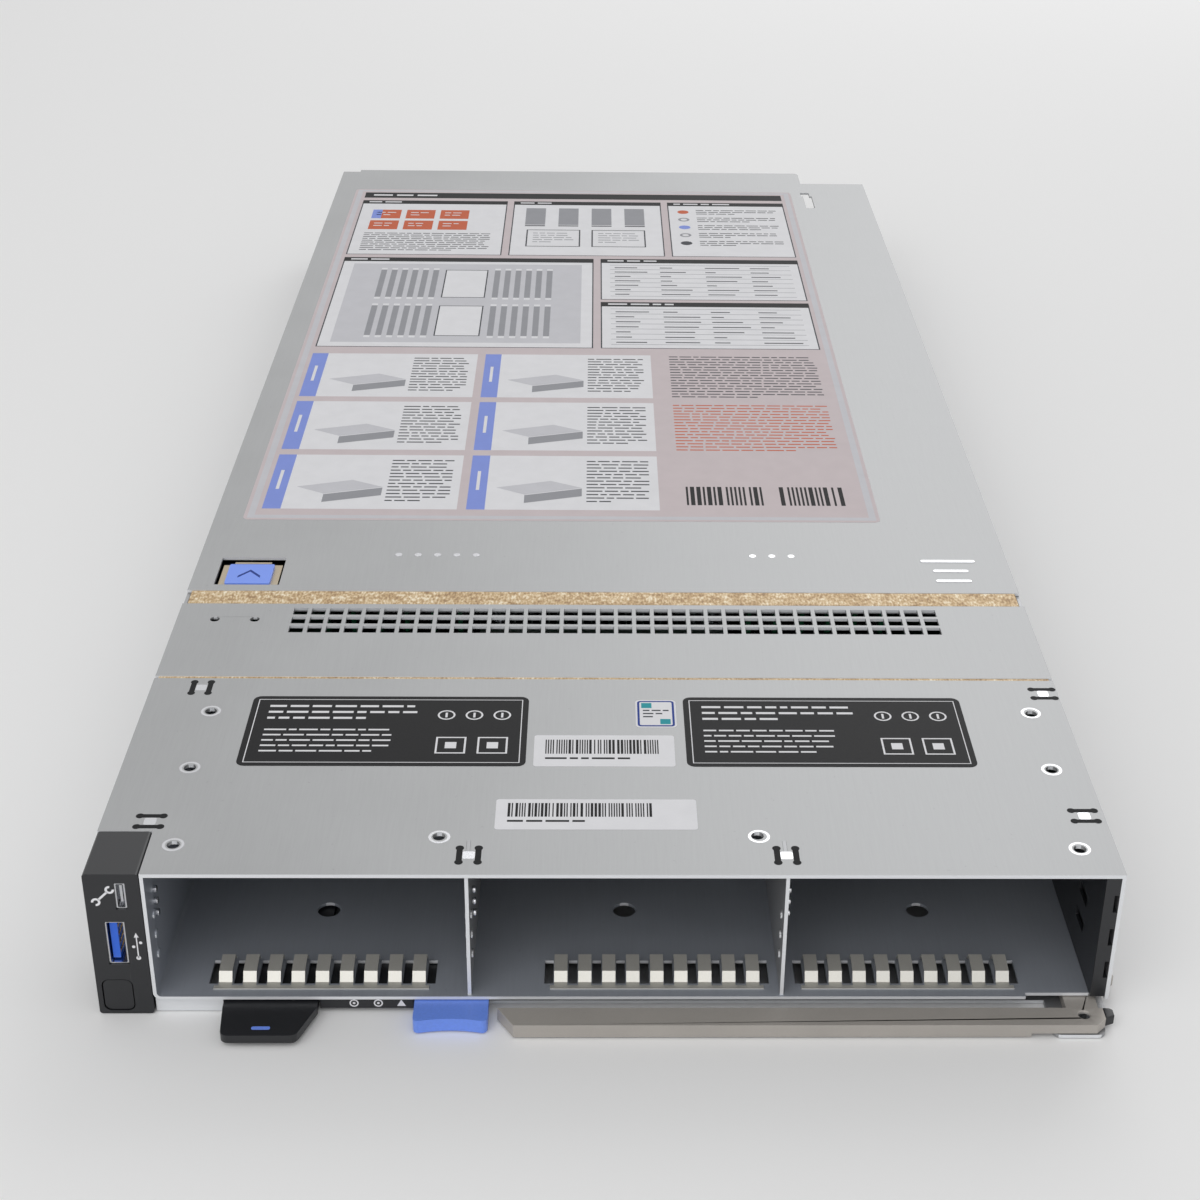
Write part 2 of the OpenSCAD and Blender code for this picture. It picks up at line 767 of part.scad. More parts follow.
module battery_holder() {
    color("#1b1c1e") translate([battery_x, battery_y, board_z]) difference() {
        cylinder(r = 12.4, h = 5.6);
        translate([0, 0, 1.2]) cylinder(r = 10.2, h = 8);
        translate([-4, -14, 1.2]) cube([8, 8, 8]);
    }
}

module coin_battery() {
    color("#c6c8ca") translate([battery_x, battery_y, board_z + 1.2]) {
        cylinder(r = 10, h = 2.8);
        translate([0, 0, 2.8]) cylinder(r = 8.8, h = 0.4);
    }
}

module storage_controller() {
    x0 = -41;
    y0 = bank_rear + 2;
    color("#1f5a38") {
        block([x0, y0, board_z + 6], [x0 + 62, y0 + 58, board_z + 7.6]);
        block([x0 + 16, y0 + 14, board_z + 7.6], [x0 + 46, y0 + 42, board_z + 16]);
        block([x0 + 4, y0 + 4, board_z], [x0 + 30, y0 + 10, board_z + 6]);
        block([x0 + 34, y0 + 48, board_z], [x0 + 58, y0 + 54, board_z + 6]);
    }
}

module management_card() {
    color("#24573a") {
        block([-24, board_rear - 30, board_z + 4], [2, board_rear - 6, board_z + 5.6]);
        block([-22, board_rear - 28, board_z], [0, board_rear - 23, board_z + 4]);
        block([-17, board_rear - 20, board_z + 5.6], [-5, board_rear - 9, board_z + 7]);
    }
}

module mezzanine_sockets() {
    color("#17181a") for (x = [card_left_x, card_right_x], step = [14, 40])
        block([x + step, board_rear - 40, board_z], [x + step + 8, board_rear - 6, card_z - card_t]);
}

module mezzanine_card(x) {
    difference() {
        round_plate(x, x + card_w, card_rear - card_l, card_rear, card_z - card_t, card_z, 1);
        translate([x + screw_in, rear_y - 9, card_z - card_t - past]) cylinder(r = 1.8, h = card_t + 2 * past);
    }
    // Parts soldered on top
    for (i = [0:3])
        block([x + 6 + i * 13, card_rear - card_l + 12, card_z],
              [x + 15 + i * 13, card_rear - card_l + 24, card_z + 1.6]);
    block([x + 16, card_rear - 56, card_z], [x + 42, card_rear - 30, card_z + 3]);
}

module mezzanine_card_left() {
    color("#1f8a52") mezzanine_card(card_left_x);
}

module mezzanine_card_right() {
    color("#1f8a52") mezzanine_card(card_right_x);
}

// A rear connector with six columns of eight staggered openings
module rear_connector(x) {
    columns = 6;
    rows = 8;
    column_pitch = (plug_w - 1.6) / columns;
    high = card_z - card_t;
    row_pitch = (high - plug_bottom - 2.2) / rows;
    rear = rear_y + plug_out;
    difference() {
        block([x, rear - plug_l, plug_bottom], [x + plug_w, rear, high]);
        for (column = [0:columns - 1], row = [0:rows - 1])
            translate([x + 0.8 + (column + 0.5) * column_pitch - 0.7, rear - 2.4,
                       plug_bottom + 0.8 + row * row_pitch + (column % 2) * row_pitch / 2])
                cube([1.4, 4, 1.1]);
        // Keyway along the top and the recessed shoulder behind it
        block([x + plug_w / 2 - 0.9, rear - 11, high - 0.7], [x + plug_w / 2 + 0.9, rear + past, high + past]);
    }
}

module rear_connectors_left() {
    color("#5a5c63") for (step = plug_in) rear_connector(card_left_x + step);
}

module rear_connectors_right() {
    color("#5a5c63") for (step = plug_in) rear_connector(card_right_x + step);
}

module guide_block(x) {
    middle = x + guide_in;
    high = card_z - card_t;
    front = rear_y - guide_l - 2;
    difference() {
        union() {
            block([middle - guide_w / 2, front, plug_bottom], [middle + guide_w / 2, rear_y - 2, high]);
            block([middle - 4, rear_y - 2, high - 7.6], [middle + 4, rear_y + 8, high - 0.6]);
        }
        translate([x + screw_in, rear_y - 9, high - 4]) cylinder(r = 1.8, h = 5);
        translate([middle, rear_y - 2 + past, guide_z]) rotate([90, 0, 0])
            cylinder(r = guide_r, h = 14 + past);
    }
}

module guide_block_left() {
    color("#b9b3a4") guide_block(card_left_x);
}

module guide_block_right() {
    color("#b9b3a4") guide_block(card_right_x);
}

module captive_screw(x) {
    translate([x + screw_in, rear_y - 9, card_z]) {
        translate([0, 0, -card_t - 3]) cylinder(r = 1.5, h = card_t + 3.3);
        translate([0, 0, 0.3]) cylinder(r = 3.1, h = 7.2);
        translate([0, 0, 7.5]) difference() {
            cylinder(r = 3.6, h = 4.2);
            translate([0, 0, 2]) cylinder(r = 1.6, h = 4, $fn = 6);
        }
    }
}

module captive_screw_left() {
    color("#4a63c8") captive_screw(card_left_x);
}

module captive_screw_right() {
    color("#4a63c8") captive_screw(card_right_x);
}

module card_shields(x) {
    block([x + 3.8, shield_rear - 10, card_z], [x + 19.6, shield_rear, card_z + shield_h]);
    block([x + 37, shield_rear - 10, card_z], [x + 59, shield_rear, card_z + shield_h]);
}

module card_shields_left() {
    color("#d9d5c4") card_shields(card_left_x);
}

module card_shields_right() {
    color("#d9d5c4") card_shields(card_right_x);
}

module power_connector() {
    low = [power_x - power_w / 2, power_rear - power_l, sheet_t];
    color("#151618") difference() {
        block(low, [power_x + power_w / 2, power_rear, sheet_t + power_h]);
        block([low[0] + 1.4, power_rear - 14, low[2] + 1.4],
              [power_x + power_w / 2 - 1.4, power_rear + past, sheet_t + 13]);
        block([low[0] + 1.4, power_rear - 14, sheet_t + 14.2],
              [power_x + power_w / 2 - 1.4, power_rear + past, sheet_t + power_h - 1.2]);
    }
}

module power_blades() {
    color("#d9a94a") {
        for (i = [0:2], s = [-1, 1])
            translate([power_x - 6.4 + i * 6.4 + s * 0.9 - 0.4, power_rear - 14, sheet_t + 3])
                cube([0.8, 11, 8]);
        for (i = [0:6], row = [0, 1])
            translate([power_x - 8 + i * 2.5, power_rear - 14, sheet_t + 15 + row * 2])
                cube([0.6, 9, 0.6]);
    }
}

module internal_usb_port() {
    color("#c3c5c8") translate([7, board_rear - 15, board_z]) difference() {
        cube([14.6, 17, 7]);
        translate([0.5, 6, 0.5]) cube([13.6, 12, 6]);
    }
    color("#2f6fd0") translate([9, board_rear - 9, board_z + 3.4]) cube([10.6, 9, 1.9]);
}

module cover_outline() {
    corner_r = 2.4;
    difference() {
        union() {
            translate([-wall_x, cover_front])
                square([sled_w - notch_w - corner_r, rear_y - cover_front]);
            translate([wall_x - notch_w - corner_r, cover_front])
                square([corner_r, rear_y - corner_r - cover_front]);
            translate([wall_x - notch_w - corner_r, rear_y - corner_r]) circle(corner_r);
            translate([wall_x - notch_w - past, cover_front])
                square([notch_w + past, rear_y - notch_l - cover_front]);
        }
        // Step in the other rear corner
        translate([-wall_x - past, rear_y - 3]) square([8 + past, 3 + past]);
        // Window of the latch tongue
        translate([latch_x - latch_w / 2 - latch_gap, latch_y])
            square([latch_w + 2 * latch_gap, latch_l + 3]);
        // Slot beside the rear corner notch
        translate([wall_x - notch_w - 0.4, rear_y - 54]) square([4, 18]);
        translate([wall_x - notch_w - 1.4, rear_y - 36]) square([4, 5]);
    }
}

module top_cover() {
    flange_x = inner_x - slide_gap;
    color("#a9aaab") {
        translate([0, 0, cover_z]) linear_extrude(thin_t) cover_outline();
        // Side flanges drop just inside the tray's walls
        for (side = [0, 1]) mirror([side, 0, 0])
            block([flange_x - thin_t, cover_front + 24, cover_z - flange_h],
                  [flange_x, rear_y - notch_l - 30, cover_z + thin_t / 2]);
        // Rear hem between the two rear corners
        block([-wall_x + 12, rear_y - 1.2, cover_z - 1.4],
              [wall_x - notch_w - 6, rear_y - 0.2, cover_z + thin_t / 2]);
    }
}

module cover_latch_tongue() {
    color("#b3a48c") difference() {
        union() {
            block([latch_x - latch_w / 2, latch_y, tongue_top - tongue_t],
                  [latch_x + latch_w / 2, latch_y + latch_l, tongue_top]);
            // Hinge roll under the cover's front edge
            translate([latch_x - latch_w / 2, latch_y, tongue_top - tongue_t])
                rotate([0, 90, 0]) cylinder(r = tongue_t, h = latch_w);
            // Upturned end and the catch below it
            block([latch_x - 5.6, latch_y + latch_l, tongue_top - 5],
                  [latch_x + 5.6, latch_y + latch_l + tongue_t, tongue_top + 0.6]);
            block([latch_x - 5.6, latch_y + latch_l - 1.6, tongue_top - 5],
                  [latch_x + 5.6, latch_y + latch_l + tongue_t, tongue_top - 4.2]);
        }
        translate([latch_x - latch_w, latch_y, tongue_top - tongue_t])
            rotate([0, 90, 0]) cylinder(r = 0.4, h = 2 * latch_w);
    }
}

module cover_latch_pad() {
    color("#86a5f7") round_plate(latch_x - 6.8, latch_x + 6.8, latch_y + 0.8, latch_y + 13.2,
                                 tongue_top, sled_h, 0.6);
}

base_tray();
drive_cage();
bay_top_plate();
bay_divider_left();
bay_divider_right();
right_cage_wall();
grounding_springs();
drive_backplane();
drive_connectors();
vent_plate();
wide_gasket();
seam_gasket();
panel_housing();
panel_board();
usb_shell();
usb_tongue();
micro_usb_port();
power_button();
status_strip();
information_tag();
release_button();
release_handle();
handle_end_cap();
handle_pivot_pin();
system_board();
board_standoffs();
board_screws();
processor_sockets();
processors();
front_heatsink();
rear_heatsink();
heatsink_screws();
memory_sockets();
memory_modules();
chipset_heatsink();
battery_holder();
coin_battery();
storage_controller();
management_card();
mezzanine_sockets();
mezzanine_card_left();
mezzanine_card_right();
rear_connectors_left();
rear_connectors_right();
guide_block_left();
guide_block_right();
captive_screw_left();
captive_screw_right();
card_shields_left();
card_shields_right();
power_connector();
power_blades();
internal_usb_port();
top_cover();
cover_latch_tongue();
cover_latch_pad();
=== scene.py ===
"""Looks of a single-width blade server sled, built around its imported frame.

Sizes are in millimetres in the row frame, and MM turns them into Blender's metres.
The printed labels carry rows of dashes and plain blocks, and no lettering.
"""

import json
import math
import random

import bmesh
import bpy
from mathutils import Matrix, Vector


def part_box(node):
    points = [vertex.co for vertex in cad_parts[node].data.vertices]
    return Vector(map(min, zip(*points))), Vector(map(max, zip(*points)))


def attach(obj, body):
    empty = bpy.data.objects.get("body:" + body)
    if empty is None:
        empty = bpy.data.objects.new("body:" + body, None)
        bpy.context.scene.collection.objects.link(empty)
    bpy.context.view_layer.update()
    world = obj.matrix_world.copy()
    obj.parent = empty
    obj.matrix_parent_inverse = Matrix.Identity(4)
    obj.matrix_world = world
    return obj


MM = 0.001
INK = 0.012  # thickness of one layer of print
FILM = 0.04  # thickness of a label
SINK = 0.05  # how far a mark reaches into the face behind it

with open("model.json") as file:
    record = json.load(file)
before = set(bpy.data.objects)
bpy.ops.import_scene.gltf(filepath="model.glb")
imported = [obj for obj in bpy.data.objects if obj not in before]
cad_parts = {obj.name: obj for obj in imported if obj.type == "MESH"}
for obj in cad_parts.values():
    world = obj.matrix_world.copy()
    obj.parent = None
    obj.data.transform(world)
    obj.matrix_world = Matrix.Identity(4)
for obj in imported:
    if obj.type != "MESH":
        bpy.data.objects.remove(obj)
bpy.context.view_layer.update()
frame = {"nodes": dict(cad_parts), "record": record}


def box_mm(node):
    """Lowest and highest corner of a CAD node in millimetres."""
    low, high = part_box(node)
    return low / MM, high / MM


def solids(node):
    """Boxes of the separate solids of a CAD node in millimetres, sorted by place."""
    mesh = frame["nodes"][node].data
    keys = [tuple(round(c * 1e6) for c in v.co) for v in mesh.vertices]
    parent = {k: k for k in keys}

    def root(k):
        while parent[k] != k:
            parent[k] = parent[parent[k]]
            k = parent[k]
        return k

    for polygon in mesh.polygons:
        first = root(keys[polygon.vertices[0]])
        for i in polygon.vertices[1:]:
            parent[root(keys[i])] = first
    groups = {}
    for k in parent:
        groups.setdefault(root(k), []).append(k)
    boxes = [
        (Vector([min(a) for a in zip(*g)]) / 1000, Vector([max(a) for a in zip(*g)]) / 1000)
        for g in groups.values()
    ]
    return sorted(boxes, key=lambda b: tuple(round(c, 2) for c in b[0]))


BAY_LOW, BAY_HIGH = box_mm("bay_top_plate")
COVER_LOW, COVER_HIGH = box_mm("top_cover")
FRONT = BAY_LOW.y  # the bay mouths
WALL = BAY_HIGH.x  # outer face of the side walls
TOP = BAY_HIGH.z


# ---- materials -------------------------------------------------------------------------------


def shade(colour, factor):
    return [min(1.0, c * factor) for c in colour] + [1.0]


def srgb(red, green, blue):
    """A colour given as 0 to 255 on screen, in linear light."""
    return [
        c / 12.92 if c <= 0.04045 else ((c + 0.055) / 1.055) ** 2.4
        for c in (red / 255, green / 255, blue / 255)
    ]


class Finish:
    """One node material. Its textures are laid out in the row frame, in metres."""

    def __init__(self, name, metallic=0.0, rough=0.5):
        self.material = bpy.data.materials.new(name)
        self.material.use_nodes = True
        self.tree = self.material.node_tree
        self.shader = self.tree.nodes["Principled BSDF"]
        self.shader.inputs["Metallic"].default_value = metallic
        self.shader.inputs["Roughness"].default_value = rough
        self.place = self.node("ShaderNodeTexCoord").outputs["Object"]
        self.normal = self.tree.nodes["Texture Coordinate"].outputs["Normal"]

    def node(self, kind, **settings):
        made = self.tree.nodes.new(kind)
        for key, value in settings.items():
            setattr(made, key, value)
        return made

    def link(self, source, target):
        self.tree.links.new(source, target)

    def stretched(self, scale):
        mapping = self.node("ShaderNodeMapping")
        mapping.inputs["Scale"].default_value = scale
        self.link(self.place, mapping.inputs["Vector"])
        return mapping.outputs["Vector"]

    def noise(self, scale, detail=3.0, stretch=None):
        """Noise with features of 1/scale metres, or of 1/stretch along each axis."""
        made = self.node("ShaderNodeTexNoise")
        made.inputs["Scale"].default_value = 1.0 if stretch else scale
        made.inputs["Detail"].default_value = detail
        self.link(self.stretched(stretch) if stretch else self.place, made.inputs["Vector"])
        return made.outputs["Fac"]

    def cells(self, scale, output="Color"):
        made = self.node("ShaderNodeTexVoronoi")
        made.inputs["Scale"].default_value = scale
        self.link(self.place, made.inputs["Vector"])
        return made.outputs[output]

    def math(self, operation, a, b=0.5):
        made = self.node("ShaderNodeMath", operation=operation)
        for value, socket in zip((a, b), made.inputs):
            if isinstance(value, (int, float)):
                socket.default_value = value
            else:
                self.link(value, socket)
        return made.outputs["Value"]

    def axis(self, vector, name):
        made = self.node("ShaderNodeSeparateXYZ")
        self.link(vector, made.inputs["Vector"])
        return made.outputs[name]

    def ramp(self, factor, stops, hard=False):
        made = self.node("ShaderNodeValToRGB")
        ramp = made.color_ramp
        ramp.interpolation = "CONSTANT" if hard else "LINEAR"
        while len(ramp.elements) < len(stops):
            ramp.elements.new(0.5)
        for element, (position, colour) in zip(ramp.elements, stops):
            element.position = position
            element.color = (list(colour) + [1.0])[:4]
        self.link(factor, made.inputs["Fac"])
        return made.outputs["Color"]

    def mix(self, factor, a, b):
        made = self.node("ShaderNodeMix", data_type="RGBA")
        for value, socket in zip((factor, a, b), (made.inputs[0], made.inputs[6], made.inputs[7])):
            if isinstance(value, (int, float)):
                socket.default_value = value
            elif isinstance(value, (list, tuple)):
                socket.default_value = (list(value) + [1.0])[:4]
            else:
                self.link(value, socket)
        return made.outputs[2]

    def spread(self, factor, low, high):
        made = self.node("ShaderNodeMapRange")
        made.inputs["To Min"].default_value = low
        made.inputs["To Max"].default_value = high
        self.link(factor, made.inputs["Value"])
        return made.outputs["Result"]

    def colour(self, socket):
        self.link(socket, self.shader.inputs["Base Color"])

    def rough(self, factor, low, high):
        self.link(self.spread(factor, low, high), self.shader.inputs["Roughness"])

    def relief(self, height, depth_mm):
        bump = self.node("ShaderNodeBump")
        bump.inputs["Distance"].default_value = depth_mm * MM
        self.link(height, bump.inputs["Height"])
        self.link(bump.outputs["Normal"], self.shader.inputs["Normal"])


EVEN_GRAIN = (2400, 2400, 2400)


def plain(name, colour, metallic=0.0, rough=0.5, vary=0.07, cloud=45.0, grain=EVEN_GRAIN, depth=0.006):
    """An even finish with soft clouds of tone and a fine grain."""
    m = Finish(name, metallic, rough)
    clouds = m.noise(cloud, 4)
    fine = m.noise(1, 2, stretch=grain)
    tone = m.math("ADD", m.math("MULTIPLY", clouds, 0.65), m.math("MULTIPLY", fine, 0.35))
    m.colour(m.ramp(tone, [(0.3, shade(colour, 1 - vary)), (0.7, shade(colour, 1 + vary))]))
    m.rough(fine, max(rough - 0.07, 0.04), rough + 0.07)
    m.relief(fine, depth)
    return m.material


def rolled_sheet(name, colour, rough, metallic):
    """Zinc-coated sheet with a fine lengthwise grain and soft clouds, and a painted highlight: every
    face that faces front or back is pale, standing for lit cut ends.
    """
    m = Finish(name, metallic, rough)
    clouds = m.noise(26, 5)
    grain = m.noise(1, 3, stretch=(2600, 90, 2600))
    specks = m.noise(700, 2)
    tone = m.math("ADD", m.math("MULTIPLY", clouds, 0.6), m.math("MULTIPLY", grain, 0.4))
    body = m.ramp(tone, [(0.28, shade(colour, 0.93)), (0.72, shade(colour, 1.06))])
    dark = m.ramp(specks, [(0.22, (1, 1, 1)), (0.27, (0, 0, 0))])
    face = m.mix(m.math("MULTIPLY", dark, 0.35), body, shade(colour, 0.72))
    # Painted highlight: faces that face along the sled get a pale colour and less metal, as if lit from
    # the front.
    painted_end_highlight = m.math("GREATER_THAN", m.math("ABSOLUTE", m.axis(m.normal, "Y"), 0), 0.92)
    m.colour(m.mix(painted_end_highlight, face, srgb(226, 228, 231)))
    m.link(m.spread(painted_end_highlight, metallic, 0.2), m.shader.inputs["Metallic"])
    m.rough(tone, rough - 0.06, rough + 0.08)
    m.relief(grain, 0.004)
    return m.material


def woven_gasket(name):
    """Conductive cloth over foam: cream and gold threads with brown gaps."""
    m = Finish(name, 0.25, 0.55)
    threads = m.noise(1, 2, stretch=(1500, 700, 1500))
    patches = m.noise(1, 3, stretch=(260, 420, 300))
    tone = m.math("ADD", m.math("MULTIPLY", threads, 0.6), m.math("MULTIPLY", patches, 0.4))
    stops = [
        (0.36, srgb(146, 116, 80)),
        (0.47, srgb(186, 157, 116)),
        (0.56, srgb(212, 190, 154)),
        (0.66, srgb(238, 228, 206)),
    ]
    m.colour(m.ramp(tone, stops))
    m.rough(threads, 0.42, 0.68)
    m.relief(threads, 0.06)
    return m.material


def circuit_board(name, mask, edge):
    """Solder mask with fine tracks on its faces, and the bare laminate at its edges."""
    m = Finish(name, 0.0, 0.32)
    tracks = m.cells(420, "Distance")
    lines = m.ramp(tracks, [(0.10, (1, 1, 1)), (0.16, (0, 0, 0))])
    clouds = m.noise(60, 3)
    body = m.ramp(clouds, [(0.3, shade(mask, 0.85)), (0.7, shade(mask, 1.15))])
    face = m.mix(m.math("MULTIPLY", lines, 0.5), body, shade(mask, 1.9))
    flat = m.math("GREATER_THAN", m.math("ABSOLUTE", m.axis(m.normal, "Z"), 0), 0.5)
    m.colour(m.mix(flat, shade(edge, 1.0), face))
    m.rough(clouds, 0.26, 0.4)
    m.relief(lines, 0.02)
    return m.material


def upright_board(name, mask):
    """A board that stands on edge, with tracks on its two faces."""
    m = Finish(name, 0.0, 0.35)
    tracks = m.cells(500, "Distance")
    lines = m.ramp(tracks, [(0.12, (1, 1, 1)), (0.2, (0, 0, 0))])
    m.colour(m.mix(lines, shade(mask, 1.0), shade(mask, 1.8)))
    m.rough(tracks, 0.3, 0.42)
    m.relief(lines, 0.02)
    return m.material


def two_part_screw(name, split_mm):
    """Bright turned metal below a height, and a blue moulded cap above it."""
    m = Finish(name, 0.0, 0.35)
    high = m.math("GREATER_THAN", m.axis(m.place, "Z"), split_mm * MM)
    low = m.math("SUBTRACT", 1.0, high)
    fine = m.noise(1800, 2)
    metal = m.ramp(fine, [(0.3, shade((0.56, 0.56, 0.57), 0.9)), (0.7, shade((0.56, 0.56, 0.57), 1.1))])
    blue = m.ramp(fine, [(0.3, srgb(72, 96, 190)), (0.7, srgb(88, 112, 206))])
    m.colour(m.mix(high, metal, blue))
    m.link(low, m.shader.inputs["Metallic"])
    m.link(m.math("ADD", 0.24, m.math("MULTIPLY", high, 0.2)), m.shader.inputs["Roughness"])
    m.relief(fine, 0.004)
    return m.material


def split_plastic(name, front, rest, split_mm):
    """Moulded plastic in one colour in front of a line across the sled, and another behind."""
    m = Finish(name, 0.0, 0.38)
    fine = m.noise(1500, 2)
    behind = m.math("GREATER_THAN", m.axis(m.place, "Y"), split_mm * MM)
    near = m.ramp(fine, [(0.3, shade(front, 0.96)), (0.7, shade(front, 1.04))])
    m.colour(m.mix(behind, near, rest))
    m.rough(fine, 0.32, 0.44)
    m.relief(fine, 0.008)
    return m.material


def shielded_socket(name, low, high):
    """Ivory housings whose upper part is painted dark as painted shade under the cover's edge, with
    bright square contacts in that dark band.
    """
    m = Finish(name, 0.0, 0.45)
    fine = m.noise(900, 2)
    ivory = m.ramp(fine, [(0.3, srgb(214, 209, 192)), (0.7, srgb(232, 228, 212))])
    # Painted shade: above this height the housings are dark, as the shade under the cover's edge.
    painted_cover_shade = m.math("GREATER_THAN", m.axis(m.place, "Z"), (low + (high - low) * 0.62) * MM)
    across = m.math("FRACT", m.math("MULTIPLY", m.axis(m.place, "X"), 1 / (4.6 * MM)), 0)
    square = m.math("GREATER_THAN", across, 0.62)
    marks = m.mix(square, srgb(58, 52, 44), srgb(226, 222, 210))
    m.colour(m.mix(painted_cover_shade, ivory, marks))
    m.rough(fine, 0.36, 0.52)
    m.relief(fine, 0.008)
    return m.material


FINISHES = {
    "galvanised_sheet": rolled_sheet("galvanised_sheet", srgb(164, 165, 167), 0.44, 0.7),
    "cage_sheet": rolled_sheet("cage_sheet", srgb(160, 165, 174), 0.45, 0.4),
    "cover_sheet": rolled_sheet("cover_sheet", srgb(164, 165, 166), 0.5, 0.7),
    "black_sheet": plain("black_sheet", srgb(34, 35, 38), 0.0, 0.34, depth=0.004),
    "black_plastic": plain("black_plastic", srgb(33, 34, 37), 0.0, 0.42, depth=0.012),
    "blue_plastic": plain("blue_plastic", srgb(118, 152, 246), 0.0, 0.38, vary=0.04, depth=0.008),
    "usb_blue": plain("usb_blue", srgb(44, 104, 222), 0.0, 0.24, vary=0.04, depth=0.003),
    "zinc_casting": plain("zinc_casting", srgb(176, 171, 165), 0.3, 0.5, cloud=70, depth=0.008),
    "gasket_fabric": woven_gasket("gasket_fabric"),
    "spring_steel": plain("spring_steel", srgb(208, 206, 199), 0.55, 0.34, depth=0.002),
    # Bright steel also serves as painted highlight on the pressed ribs, dimples, hole rims and folded
    # tabs.
    "bright_steel": plain("bright_steel", srgb(202, 203, 206), 1.0, 0.22, depth=0.003),
    "green_board": circuit_board("green_board", srgb(22, 86, 50), srgb(188, 170, 84)),
    "dark_board": circuit_board("dark_board", srgb(22, 74, 50), srgb(122, 104, 62)),
    "gold_contact": plain("gold_contact", srgb(226, 186, 104), 1.0, 0.26, depth=0.003),
    "heatsink_metal": plain("heatsink_metal", srgb(186, 188, 192), 1.0, 0.34, grain=(3000, 120, 3000)),
    "connector_grey": plain("connector_grey", srgb(92, 94, 101), 0.0, 0.45, depth=0.012),
    "nickel_block": plain("nickel_block", srgb(186, 180, 165), 0.9, 0.34, cloud=120, depth=0.012),
    "ivory_shield": plain("ivory_shield", srgb(226, 222, 206), 0.0, 0.45, vary=0.04, depth=0.008),
    "tan_tongue": plain("tan_tongue", srgb(186, 172, 148), 0.35, 0.45, depth=0.008),
}


def ink(name, red, green, blue, rough=0.62):
    """Print with little shine, so that its dark tones stay dark."""
    made = plain(name, srgb(red, green, blue), 0.0, rough, vary=0.035, cloud=160, depth=0.002)
    made.node_tree.nodes["Principled BSDF"].inputs["Specular IOR Level"].default_value = 0.16
    return made


WHITE = ink("print_white", 226, 226, 229)
# Black print, also used as painted shade in the plate's tab slots.
BLACK = ink("black_print_and_painted_shade", 20, 21, 23)
LABEL_BLACK = ink("label_black", 20, 20, 22, 0.55)
CHARCOAL = ink("print_charcoal", 62, 64, 70)
MID_GREY = ink("print_grey", 150, 151, 156)
PALE_GREY = ink("print_pale_grey", 200, 200, 205)
BLUSH = ink("print_blush", 202, 191, 193)
TERRACOTTA = ink("print_terracotta", 196, 98, 66)
PERIWINKLE = ink("print_periwinkle", 132, 150, 220)
TEAL = ink("print_teal", 46, 150, 160)
NAVY = ink("print_navy", 44, 66, 140)
# Painted light: a brighter green for the lit strip along the mezzanine cards' rear edges.
LIT_BOARD_GREEN = ink("painted_lit_board_green", 40, 138, 74, 0.4)


# ---- mesh helpers ----------------------------------------------------------------------------

TURNS = {
    "z": lambda a, b, level: (a, b, level),
    "y": lambda a, b, level: (a, level, b),
    "x": lambda a, b, level: (level, a, b),
}


class Solid:
    """Collects closed solids in millimetres, each in one of the piece's materials."""

    def __init__(self):
        self.mesh = bmesh.new()

    def prism(self, outline, low, high, finish=0, axis="z"):
        """A closed solid with this outline, from one level to another along an axis."""
        turn = TURNS[axis]
        ends = [
            [self.mesh.verts.new(Vector(turn(a, b, level)) * MM) for a, b in outline]
            for level in (low, high)
        ]
        faces = [self.mesh.faces.new(ends[0]), self.mesh.faces.new(ends[1])]
        for i in range(len(outline)):
            j = (i + 1) % len(outline)
            faces.append(self.mesh.faces.new((ends[0][i], ends[0][j], ends[1][j], ends[1][i])))
        for face in faces:
            face.material_index = finish

    def box(self, low, high, finish=0):
        outline = [(low[0], low[1]), (high[0], low[1]), (high[0], high[1]), (low[0], high[1])]
        self.prism(outline, low[2], high[2], finish)

    def disc(self, a, b, r, low, high, finish=0, axis="z", steps=24):
        self.prism(arc(a, b, r, 0, 360, steps)[:-1], low, high, finish, axis)

    def ring(self, a, b, outer, inner, low, high, finish=0, axis="z", steps=28):
        turn = TURNS[axis]
        rings = []
        for r, level in ((outer, low), (outer, high), (inner, high), (inner, low)):
            places = arc(a, b, r, 0, 360, steps)[:-1]
            rings.append([self.mesh.verts.new(Vector(turn(u, v, level)) * MM) for u, v in places])
        for k in range(4):
            near, far = rings[k], rings[(k + 1) % 4]
            for i in range(steps):
                j = (i + 1) % steps
                face = self.mesh.faces.new((near[i], near[j], far[j], far[i]))
                face.material_index = finish

    def piece(self, name, body, slot, finishes, bevel=0.0):
        """Turns the solids into one piece that rides on a body."""
        bmesh.ops.recalc_face_normals(self.mesh, faces=self.mesh.faces)
        data = bpy.data.meshes.new(name)
        self.mesh.to_mesh(data)
        self.mesh.free()
        for finish in finishes:
            data.materials.append(finish)
        made = bpy.data.objects.new(name, data)
        bpy.context.scene.collection.objects.link(made)
        if bevel:
            soften(made, bevel)
        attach(made, body)
        return made


def arc(a, b, r, start, end, steps):
    """Points round a centre, from one angle to another in degrees."""
    angles = [math.radians(start + (end - start) * i / steps) for i in range(steps + 1)]
    return [(a + r * math.cos(t), b + r * math.sin(t)) for t in angles]


def rounded(a0, b0, a1, b1, r, steps=5):
    """Outline of a rectangle with round corners."""
    corners = [(a1 - r, b1 - r, 0), (a0 + r, b1 - r, 90), (a0 + r, b0 + r, 180), (a1 - r, b0 + r, 270)]
    return [p for a, b, start in corners for p in arc(a, b, r, start, start + 90, steps)]


def soften(thing, width, segments=2):
    """Rounds the sharp edges a little, so that they catch the light."""
    weld = thing.modifiers.new("weld", "WELD")
    weld.merge_threshold = 1e-6
    bevel = thing.modifiers.new("bevel", "BEVEL")
    bevel.width = width * MM
    bevel.segments = segments
    bevel.limit_method = "ANGLE"
    bevel.angle_limit = math.radians(35)
    bevel.use_clamp_overlap = True
    normals = thing.modifiers.new("normals", "WEIGHTED_NORMAL")
    normals.keep_sharp = False


# ---- print -----------------------------------------------------------------------------------


